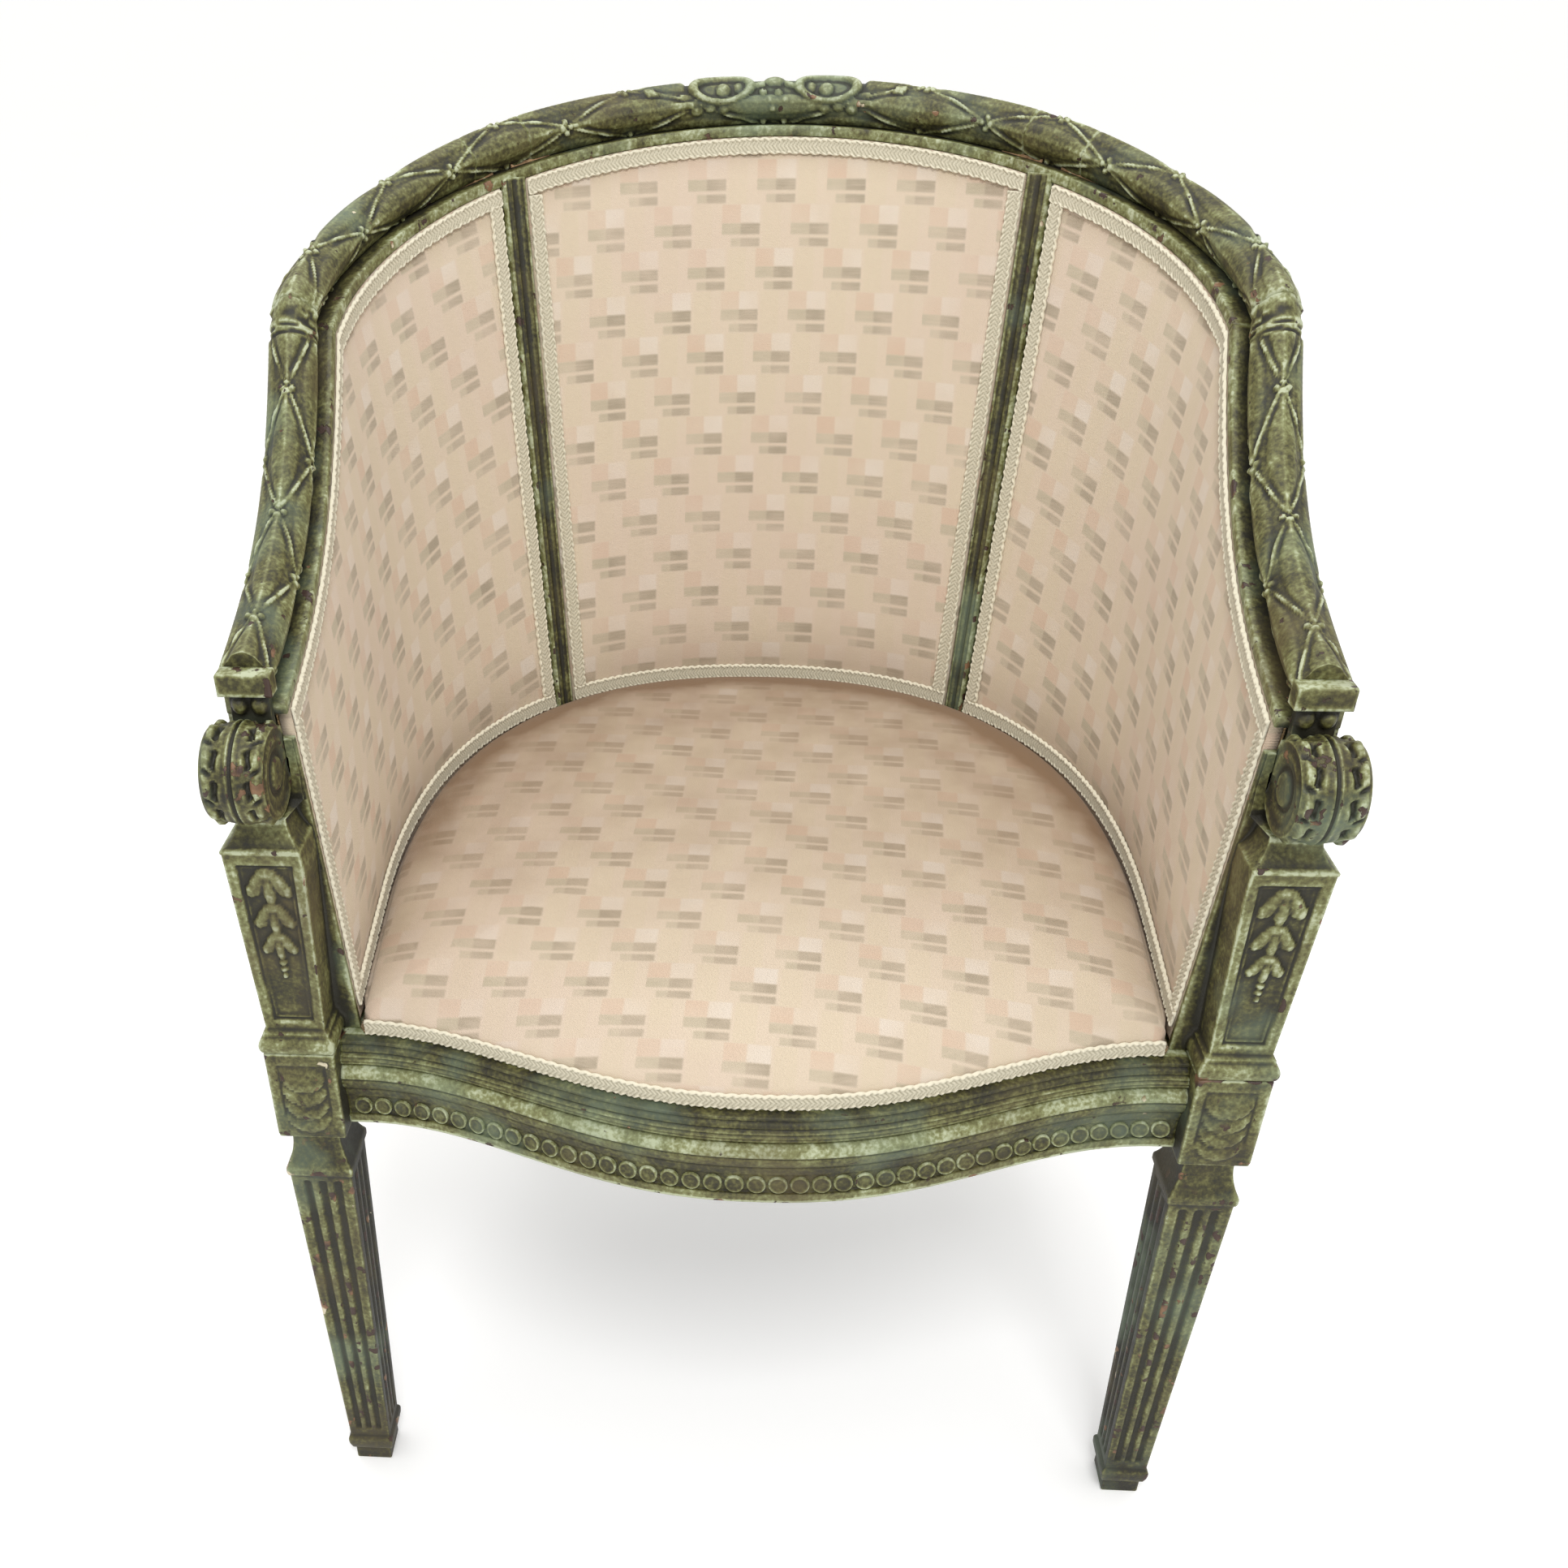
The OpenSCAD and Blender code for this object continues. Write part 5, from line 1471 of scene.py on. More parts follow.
@dataclass
class ArmScroll:
    """Leaf-carved roll at the front of the arm, with a flat tablet on top."""

    leg: FrontLeg
    plan: TubPlan
    centre_x: float = 270.8
    y: float = 8.0
    z: float = 563.0
    radius: float = 27.0
    width: float = 33.6
    tablet_w: float = 28.5
    tablet_d: float = 11.0
    tablet_z: float = 613.6
    leaf_pitch: float = 17.5

    def _leaf(self, x: Array, turn: Array) -> Array:
        """Height of the leaf over the roll.

        Args:
            x: Place across the roll.
            turn: Angle round it in radians.

        Returns:
            Height in millimetres.
        """
        run = turn * self.radius
        across = np.abs(x)
        q = (run + 0.55 * across) / self.leaf_pitch
        off = (q - np.round(q)) * self.leaf_pitch
        slot = bell(across - 8.8 - 0.12 * off, 1.5) * (1 - smooth(np.abs(off), 4.8, 6.6))
        between = (q + 0.5 - np.round(q + 0.5)) * self.leaf_pitch
        notch = bell(between, 1.3) * smooth(across, 9.0, 13.0)
        swell = 0.8 * np.cos(2 * math.pi * q) * smooth(across, 4, 8)
        side = 2.2 + swell - 4.4 * slot - 3.2 * notch
        rib = 3.4 * dome(across - 1.9, 1.5)
        out = np.where(across < 3.6, rib - 0.2, side)
        edge = self.width / 2 - 1.8 - 1.2 * notch
        return out * (1 - smooth(across, edge - 1.0, edge + 0.8)) - 0.5

    def _side(self, r: Array, turn: Array) -> Array:
        """Height of the volute on a side of the roll.

        Args:
            r: Distance from the roll's axis.
            turn: Angle round it in radians.

        Returns:
            Height in millimetres.
        """
        eye = 1.4 * dome(r, 9.0) ** 0.6
        winding = (r - 10.5) / 15.5 - (turn / (2 * math.pi)) % 1.0 * 0.5
        band = 0.9 * bell(winding - 0.35, 0.12) + 0.9 * smooth(r, 23.5, 24.8) * (1 - smooth(r, 25.8, 27))
        moat = -1.3 * bell(r - 10.6, 1.6)
        return eye + band + moat - 0.5

    def build(self, bench: Bench) -> None:
        """Make both scrolls.

        Args:
            bench: Places the pieces.
        """
        turn = np.linspace(0, 2 * math.pi, 151)[:-1][:, None]
        base = self.radius - 2.2
        r_in = np.concatenate([[0.2], steps(1.5, base - 0.8, 1.3)])[None]
        x = steps(-self.width / 2 + 0.6, self.width / 2 - 0.6, 1.1)[None]
        ease = smooth(np.cos(turn) * self.radius, 17.5, 19.0)
        leaf = mix(self._leaf(x, turn), 1.0, ease)
        eye = np.broadcast_to(r_in, (len(turn), r_in.size))
        r = np.concatenate([eye, base + leaf, eye[:, ::-1]], 1)
        lift = self._side(eye, turn)
        left = -self.width / 2 - lift
        right = self.width / 2 + lift[:, ::-1]
        place = np.concatenate([left, np.broadcast_to(x, leaf.shape), right], 1)
        points = np.stack([self.centre_x + place, self.y + r * np.cos(turn), self.z + r * np.sin(turn)], -1)
        points[..., 1] = np.minimum(points[..., 1], self.plan.arm_front - 1)
        skin = Skin()
        skin.grid(points[::-1], closed=False, looped=True, lids=False, soil=0.28)
        self._add_tablet(skin)
        bench.both(skin, "carved_arm_scroll", Finish.PAINT_WORN, "arm_scroll")

    def _add_tablet(self, skin: Skin) -> None:
        """Add the tablet and the recess with two buds below it.

        Args:
            skin: The scroll's skin.
        """
        z = steps(577, self.tablet_z, 1.0)
        lip = smooth(z, 600.2, 601.4) - 0.12 * smooth(z, 612.6, 613.6)
        half = mix(10.5, self.tablet_w / 2, lip)
        back = self.plan.arm_front - 1
        front = mix(back - 4.5, back - self.tablet_d, lip)
        corners = rectangle(self.leg.x - half, self.leg.x + half, front, np.full_like(z, back), z)

        def buds(side: int, x: Array, p: Array) -> Array:
            """Height of the two buds."""
            far = np.hypot(np.abs(x) - 5.2, (p[..., 2] - 595.0) * 0.8)
            return 4.6 * dome(far, 4.4) * (side == 0)

        points = CornerStack(corners, (26, 10, 18, 10), 0.5).points(buds)
        # Painted shade: the recess below the tablet is darkened.
        dark = 1.0 - 0.95 * smooth(z, 599.5, 601.5)
        skin.grid(points, soil=dark[:, None])


@dataclass
class BackStile:
    """Rear leg, stile, the grooved strip on it and its block of the crest."""

    plan: TubPlan
    rail: CarvedRail
    width: float = 34.0
    foot_w: float = 27.0
    splay: float = 52.0
    rail_foot: float = 322.0
    rail_outer: float = 45.0
    frame_in: float = 9.2
    strip: tuple[float, float] = (14.5, 17.0)
    strip_face: float = 2.4
    groove: float = 1.7
    strip_foot: float = 384.5
    head_up: float = 3.2

    def _box(self, p: Array, n: Array, w: Array, inner: Array, outer: Array, z: Array) -> Array:
        """Corners of the stile at each height, counter-clockwise from above.

        Args:
            p: Places on the walls.
            n: Level vectors into the chair.
            w: Widths.
            inner: Depths of the inner side.
            outer: Depths of the outer side.
            z: Heights.

        Returns:
            Rows by four corners by 3.
        """
        t = np.stack([-n[:, 1], n[:, 0]], 1)
        out = []
        for across, deep in ((-w / 2, outer), (-w / 2, inner), (w / 2, inner), (w / 2, outer)):
            flat = p + t * across[:, None] + n * deep[:, None]
            out.append(np.column_stack([flat, z]))
        return np.stack(out, 1)

    def build(self, bench: Bench) -> None:
        """Make both stiles.

        Args:
            bench: Places the pieces.
        """
        plan = self.plan
        s = plan.stile
        one = np.array([s])
        foot = plan.seat_plan(one)[0]
        inward = plan.inward(one, np.array([plan.seat_top]))[0]
        top = float(plan.top_z(one)[0]) + self.head_up
        z = steps(plan.seat_top + 0.3, top, 4)
        at = np.full_like(z, s)
        easing = self.width**2 / 473 / 3
        upper = self._box(
            plan.plan(at, z), plan.inward(at, z), np.full_like(z, self.width),
            np.full_like(z, -self.frame_in),
            easing - plan.thick(at, z), z,
        )
        low = np.concatenate([steps(0, self.rail_foot, 4), [plan.seat_top]])
        k = 1 - np.minimum(low, self.rail_foot) / self.rail_foot
        away = np.array([inward[0] * -0.5, abs(inward[1])])
        away = away / np.linalg.norm(away)
        middle = -(self.rail_outer + self.frame_in) / 2
        deep = mix(self.rail_outer - self.frame_in, self.foot_w, k)
        lower = self._box(
            foot + away * (self.splay * k**1.6)[:, None], np.tile(inward, (len(low), 1)),
            mix(self.width, self.foot_w, k),
            middle + deep / 2, middle - deep / 2, low,
        )
        skin = Skin()
        skin.grid(CornerStack(np.concatenate([lower, upper]), (10, 9, 10, 9), 1.2).points())
        self._add_strip(skin, top)
        inner, outer = s - plan.head_half, s + plan.head_half
        skin.join(self.rail.skin(inner, outer))
        bench.both(skin, "carved_back_stile", Finish.PAINT, "back_stile")

    def _add_strip(self, skin: Skin, top: float) -> None:
        """Add the grooved strip that shows between two panels.

        Args:
            skin: The stile's skin.
            top: Height where the strip ends.
        """
        plan = self.plan
        z = steps(self.strip_foot, top, 1.6)
        half = mix(self.strip[0], self.strip[1], (z - z[0]) / (z[-1] - z[0])) / 2
        share = np.linspace(-1, 1, 25)
        a = np.abs(share)
        face = self.strip_face - 0.9 * smooth(a, 0.78, 1.0)
        face = face - (self.groove - 0.4) * (1 - smooth(a, 0.12, 0.34)) - 0.45 * bell(a - 0.68, 0.07)
        across = half[:, None] * share[None]
        shares = plan.stile + across / plan.top_run
        front = plan.wall(shares, z[:, None], np.broadcast_to(face, across.shape))
        back = plan.wall(shares[:, ::-1], z[:, None], np.full_like(across, -self.frame_in - 1))
        skin.grid(np.concatenate([front, back], 1), soil=0.5)


@dataclass
class FrontRail:
    """Bow-fronted moulded seat rail with its band of coins."""

    half: float = 246.4
    foot: float = 322.0
    height: float = 60.0
    thick: float = 29.0
    setback: float = 12.0
    bow_out: float = 58.0
    squareness: float = 1.16
    side_x: float = 236.5
    coin_pitch: float = 12.3
    coin_r: float = 4.9
    cuts: Places = ((373.5, 0.6, 1.5), (366.9, 0.6, 1.7), (357.8, 0.6, 1.4), (348.2, 0.5, 0.8))
    coin: Places = (
        (5.5, -0.6), (5.5, 1.3), (5.2, 1.9), (4.7, 2.1), (4.3, 1.9), (3.7, 1.5), (2.7, 1.25), (1.4, 1.2),
        (0.05, 1.2),
    )
    shares: Places = (
        (0.38, 1), (0.14, 0.985), (0.14, 0.95), (0.19, 0.935), (0.12, 0.915), (0.07, 0.85), (0.06, 0.84),
        (0, 0.78),
        (0.05, 0.735), (-0.09, 0.7), (-0.155, 0.64), (-0.14, 0.585), (-0.12, 0.52), (0, 0.44), (0.06, 0.325),
        (0.085, 0.31), (0.085, 0.1), (0, 0.095), (0, 0),
    )

    def face(self, x: Array) -> Array:
        """Depth of the rail's face at a place across the chair."""
        bow = 0.5 * (1 + np.cos(math.pi * np.minimum(1, np.abs(x) / self.side_x) ** self.squareness))
        return self.setback - self.bow_out * bow

    def bow(self, x: Array) -> Array:
        """Share of the bow at a place, 1 at the middle."""
        return (self.setback - self.face(x)) / self.bow_out

    def seat_front(self, x: Array) -> Array:
        """Depth where the seat begins."""
        return self.face(x) + self.shares[0][0] * self.thick

    def _profile(self) -> Array:
        """Section of the rail, as a depth behind its face and a height.

        Returns:
            Rows of depth and height.
        """
        corner = np.array(self.shares) * (self.thick, self.height) + (0, self.foot)
        run = run_up(np.linalg.norm(np.diff(corner, axis=0), axis=1))
        at = steps(0, run[-1], 0.5)
        line = np.stack([np.interp(at, run, corner[:, k]) for k in (0, 1)], 1)
        calm = line.copy()
        calm[1:-1] = (line[:-2] + 2 * line[1:-1] + line[2:]) / 4
        z = calm[:, 1]
        reeds = np.abs(np.sin(math.pi * (z - 366.9) / 2.2)) * ((z > 366.9) & (z < 373.5))
        calm[:, 0] += sum(deep * bell(z - at, wide) for at, wide, deep in self.cuts) - 1.3 * reeds
        behind = np.array([[self.thick, self.foot + share * self.height] for share in (0, 0.5, 1)])
        return np.vstack([calm, behind])

    def build(self, bench: Bench) -> None:
        """Make the rail.

        Args:
            bench: Places the pieces.
        """
        x = steps(-self.half, self.half, 1.3)
        behind, z = self._profile().T
        y = self.face(x)[:, None] + behind[None]
        points = np.stack(np.broadcast_arrays(x[:, None], y, z[None]), -1)
        # Painted highlight on the torus; painted shade below the torus and on the top fillet; the lower lip
        # is painted paler.
        torus = smooth(z, 358, 360) * (1 - smooth(z, 365, 367))
        lip = smooth(z, 328.5, 326.5)
        painted_shade_and_tone = 0.3 * (z < 350) * (1 - 2.2 * lip) + 0.35 * smooth(z, 373, 376) - 0.8 * torus
        skin = Skin()
        skin.grid(points, soil=painted_shade_and_tone)
        self._add_coins(skin)
        bench.place(skin, "moulded_front_rail", Finish.PAINT, ["seat_rail_front"], reach=1.5)

    def _add_coins(self, skin: Skin) -> None:
        """Add the dished coins of the band.

        Args:
            skin: The rail's skin.
        """
        line = steps(-self.half, self.half, 0.5)
        run = run_up(np.hypot(np.diff(line), np.diff(self.face(line))))
        run = run - run[-1] / 2
        count = int((run[-1] - self.coin_r) / self.coin_pitch)
        turn = np.linspace(0, 2 * math.pi, 25)[:-1]
        for k in range(-count, count + 1):
            x = float(np.interp(k * self.coin_pitch, run, line))
            ahead, behind = (float(self.face(np.array(x + d))) for d in (0.5, -0.5))
            along = np.array([1, ahead - behind, 0])
            along = along / np.linalg.norm(along)
            out = np.array([along[1], -along[0], 0])
            centre = np.array(
                [x, float(self.face(np.array(x))) + 0.085 * self.thick, self.foot + 0.205 * self.height]
            )
            rings = []
            for r, h in self.coin:
                tilt = 0.16 * r * (np.cos(turn) - np.sin(turn)) * 0.7
                disc = r * (np.cos(turn)[:, None] * along + np.sin(turn)[:, None] * np.array([0, 0, 1]))
                rings.append(centre + disc + (h + tilt)[:, None] * out)
            # Painted highlight on each coin's rim and a little painted shade in its dish.
            inner = np.array([r < 4.0 for r, _ in self.coin])
            skin.grid(np.array(rings), soil=np.where(inner, 0.1, -0.3)[:, None])


# Upholstery


@dataclass(frozen=True)
class Cut:
    """Flat size of a sheet, measured on the line of its threads."""

    width: float
    length: float
    area: float

    @classmethod
    def of(cls, points: Array) -> "Cut":
        """Measure the cut from a grid of the sheet's own face, in millimetres.

        Args:
            points: Rows by columns by 3, in millimetres.

        Returns:
            The cut.
        """
        across = np.linalg.norm(np.diff(points, axis=0), axis=2).sum(0).max()
        up = np.linalg.norm(np.diff(points, axis=1), axis=2).sum(1).max()
        area = min(face_area(points), float(across * up))
        return cls(float(across) * MM, float(up) * MM, area * MM * MM)

    def declare(self, piece: bpy.types.Object, held: str, rests_on: Sequence[str]) -> None:
        """Log the sheet's cut.

        Args:
            piece: The sheet.
            held: How it is held; not used.
            rests_on: What carries it; not used.
        """
        LOG.info("%s: cut %.0f x %.0f mm", piece.name, self.width / MM, self.length / MM)


@dataclass
class Braid:
    """Flat gimp: two corded edges with a chevron between them and a scalloped rim."""

    width: float = 10.5
    thick: float = 2.2
    scallop: float = 7.0

    def section(self, run: Array, flip: bool = False) -> tuple[Array, Array]:
        """Give places across and heights for a strip.

        Args:
            run: Length along the strip.
            flip: Whether the chevrons point the other way.

        Returns:
            Places across and heights, each a row for every length.
        """
        share = np.concatenate([np.linspace(-1, 1, 21), [0.98, 0.0, -0.98]])
        half = self.width / 2 * (0.84 + 0.18 * np.abs(np.sin(math.pi * run / self.scallop)))[:, None]
        across = share[None] * half
        a = np.abs(across)
        turn = 2 * math.pi / 3.2
        sense = -1 if flip else 1
        twist = np.sin(turn * 0.8 * (run[:, None] * sense + across))
        cord = 1.8 * dome(a - half * 0.8, 1.2) * (0.66 + 0.34 * twist)
        arrow = np.abs(np.sin(turn / 1.7 * (run[:, None] * sense - a * 0.9)))
        chevron = (0.4 + 0.6 * arrow) * (a < half * 0.62)
        height = self.thick - 1.5 + np.maximum(cord, chevron)
        height[:, 21:] = 0.0
        height[:, 0] = height[:, 20] = 0.3
        return across, height


@dataclass
class Panel:
    """One panel of the tub: its pad, the hessian behind it, the outside cover and both braids."""

    plan: TubPlan
    name: str
    start: float
    end: float
    outer_start: float
    outer_end: float
    mirrored: bool
    pad_t: float = 7.0
    crown: float = 6.0
    foot_gap: float = 4.0
    gap: float = 0.3
    cover_t: float = 2.7
    tall: float = 390.0
    turn: float = 0.0
    bar_at: tuple[float, float] = (-10.4, 770.0)
    phase: float = 8.3
    braid: Braid = field(default_factory=Braid)

    def _low(self, s: Array) -> Array:
        """Height of the panel's visible foot."""
        return self.plan.seat_top + self.plan.edge_rise(s) + 1

    def _high(self, s: Array) -> Array:
        """Height of the panel's top."""
        return self.plan.top_z(s) - self.gap

    def _slab(
        self, start: float, end: float, low: Array | float, back: Callable, face: Callable, pitch: float
    ) -> tuple[Skin, Array]:
        """Make a closed curved slab.

        Args:
            start: Share of the run where it starts.
            end: Share where it ends.
            low: Height of its foot.
            back: Depth of its back from shares and heights.
            face: Depth of its face.
            pitch: Size of its mesh.

        Returns:
            The skin and the points of its face.
        """
        plan = self.plan
        s = steps(start, end, pitch / plan.top_run)
        t = np.linspace(0, 1, max(3, int(self.tall / pitch)))
        high = self._high(s)[:, None]
        z = mix(low, high, t[None])
        grid = np.broadcast_to(s[:, None], z.shape)
        front = plan.wall(grid, z, face(grid, z))
        rear = plan.wall(grid, z, back(grid, z))
        ring = np.concatenate([front, rear[:, ::-1]], 1)
        x = np.concatenate([plan.run_at(grid, z), plan.run_at(grid, z)[:, ::-1]], 1) - self.bar_at[0]
        y = (np.concatenate([z, z[:, ::-1]], 1) - self.bar_at[1]) * 1.01
        cloth = turned(x, y, self.turn, self.phase)
        # Painted shade: darker near the foot and near the top, under the rail.
        foot = self._low(s)[:, None]
        near = np.minimum(smooth(z - foot, 60, 0), 1)
        soil = 0.25 * near + 0.12 * smooth(high - z, 26, 8)
        skin = Skin()
        skin.grid(ring, cloth=cloth, soil=np.concatenate([soil, soil[:, ::-1]], 1))
        return skin, front

    def _swell(self, s: Array, z: Array) -> Array:
        """Fullness of the pad at a place, from 0 at its braid to 1.

        Args:
            s: Share of the run.
            z: Height.

        Returns:
            Shares from 0 to 1.
        """
        plan = self.plan
        edge = self.braid.width / plan.top_run
        across = (s - self.start - edge) / (self.end - self.start - 2 * edge)
        low, high = self._low(s) + self.braid.width, self._high(s) - self.braid.width
        up = (z - low) / (high - low)
        wave = np.sin(math.pi * np.clip(across, 0, 1)) * np.sin(math.pi * np.clip(up, 0, 1))
        return np.clip(wave, 0, 1) ** 0.55

    def _both(
        self, bench: Bench, skin: Skin, name: str, finish: Finish, node: str, reach: float = 0.7
    ) -> list[bpy.types.Object]:
        """Place the piece once, or on both sides.

        Args:
            bench: Places the pieces.
            skin: The piece.
            name: Its name.
            finish: Its finish.
            node: Solid that it stands for.
            reach: Passed on to the skin.

        Returns:
            The pieces.
        """
        if self.mirrored:
            return bench.both(skin, name, finish, node, reach=reach)
        return [bench.place(skin, name, finish, [node], reach=reach)]

    def _declare(self, piece: bpy.types.Object, face: Array) -> None:
        """Log the cut of a stretched sheet, passing on the pieces that hold it.

        Args:
            piece: The sheet.
            face: The points of its face.
        """
        side = piece.name.rsplit("_", 1)[1]
        held_by = ["carved_crest_centre"]
        if self.mirrored:
            held_by = [f"carved_arm_rail_{side}", f"carved_back_stile_{side}"]
        Cut.of(face).declare(piece, "stretched", held_by)

    def _braids(self, start: float, end: float, low: Callable, seat: Callable, out: int) -> Skin:
        """Lay braid round the edge of the panel.

        Args:
            start: Share of the run where it starts.
            end: Share where it ends.
            low: Gives the height of the lower edge.
            seat: Gives the depth that the braid lies on.
            out: Which way its face looks, 1 into the chair.

        Returns:
            The four strips.
        """
        plan = self.plan
        skin = Skin()
        half = self.braid.width / 2
        s = steps(start, end, 0.95 / plan.top_run)
        run = (s - s[0]) * plan.top_run
        for edge, sign in ((low, 1), (self._high, -1)):
            across, height = self.braid.section(run)
            z = edge(s)[:, None] + sign * half + across
            grid = np.broadcast_to(s[:, None], z.shape)
            skin.grid(plan.wall(grid, z, seat(grid, z) + out * height))
        for share, sign in ((start, 1), (end, -1)):
            foot = float(low(np.array([share]))[0]) + 2 * half - 0.5
            top = float(self._high(np.array([share]))[0]) - 2 * half + 0.5
            z = steps(foot, top, 0.95)
            across, height = self.braid.section(z - z[0], flip=sign < 0)
            level = np.broadcast_to(z[:, None], across.shape)
            local = mix(plan.seat_run, plan.top_run, plan.rise(np.full_like(level, share), level))
            grid = share + (sign * half + across) / local
            skin.grid(plan.wall(grid, level, seat(grid, level) + out * height))
        return skin

    def build(self, bench: Bench) -> None:
        """Make every layer of the panel.

        Args:
            bench: Places the pieces.
        """
        plan, gap = self.plan, self.gap
        pad, _ = self._slab(
            self.start, self.end, plan.seat_top + self.foot_gap,
            lambda s, z: np.full_like(z, -self.pad_t),
            lambda s, z: -gap + self.crown * 1.12 * self._swell(s, z), 2.6,
        )
        for piece in self._both(bench, pad, f"{self.name}_inside_pad", Finish.CLOTH, f"{self.name}_pad"):
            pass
        deep = -self.pad_t - 2 * gap
        hessian, face = self._slab(
            self.start, self.end, plan.seat_top + self.foot_gap,
            lambda s, z: np.full_like(z, deep - 1), lambda s, z: np.full_like(z, deep), 8,
        )
        for piece in self._both(
            bench, hessian, f"{self.name}_hessian_sheet", Finish.HESSIAN, f"{self.name}_hessian"
        ):
            self._declare(piece, face)
        cover, face = self._slab(
            self.outer_start, self.outer_end, plan.seat_top + gap,
            lambda s, z: -plan.thick(s, z) - gap - self.cover_t, lambda s, z: -plan.thick(s, z) - gap, 4,
        )
        for piece in self._both(
            bench, cover, f"{self.name}_outside_cover", Finish.CLOTH, f"outer_{self.name}_cover"
        ):
            self._declare(piece, face)
        inner = self._braids(self.start, self.end, self._low, lambda s, z: np.full_like(z, gap), 1)
        self._both(bench, inner, f"{self.name}_inside_gimp", Finish.GIMP, f"gimp_{self.name}", reach=0.4)
        outer = self._braids(
            self.outer_start, self.outer_end, lambda s: np.full_like(s, plan.seat_top + gap),
            lambda s, z: -plan.thick(s, z) - 2 * gap - self.cover_t, -1,
        )
        node = "outer_gimp" if self.mirrored else "outer_gimp_back"
        self._both(bench, outer, f"{self.name}_outside_gimp", Finish.GIMP, node, reach=0.4)


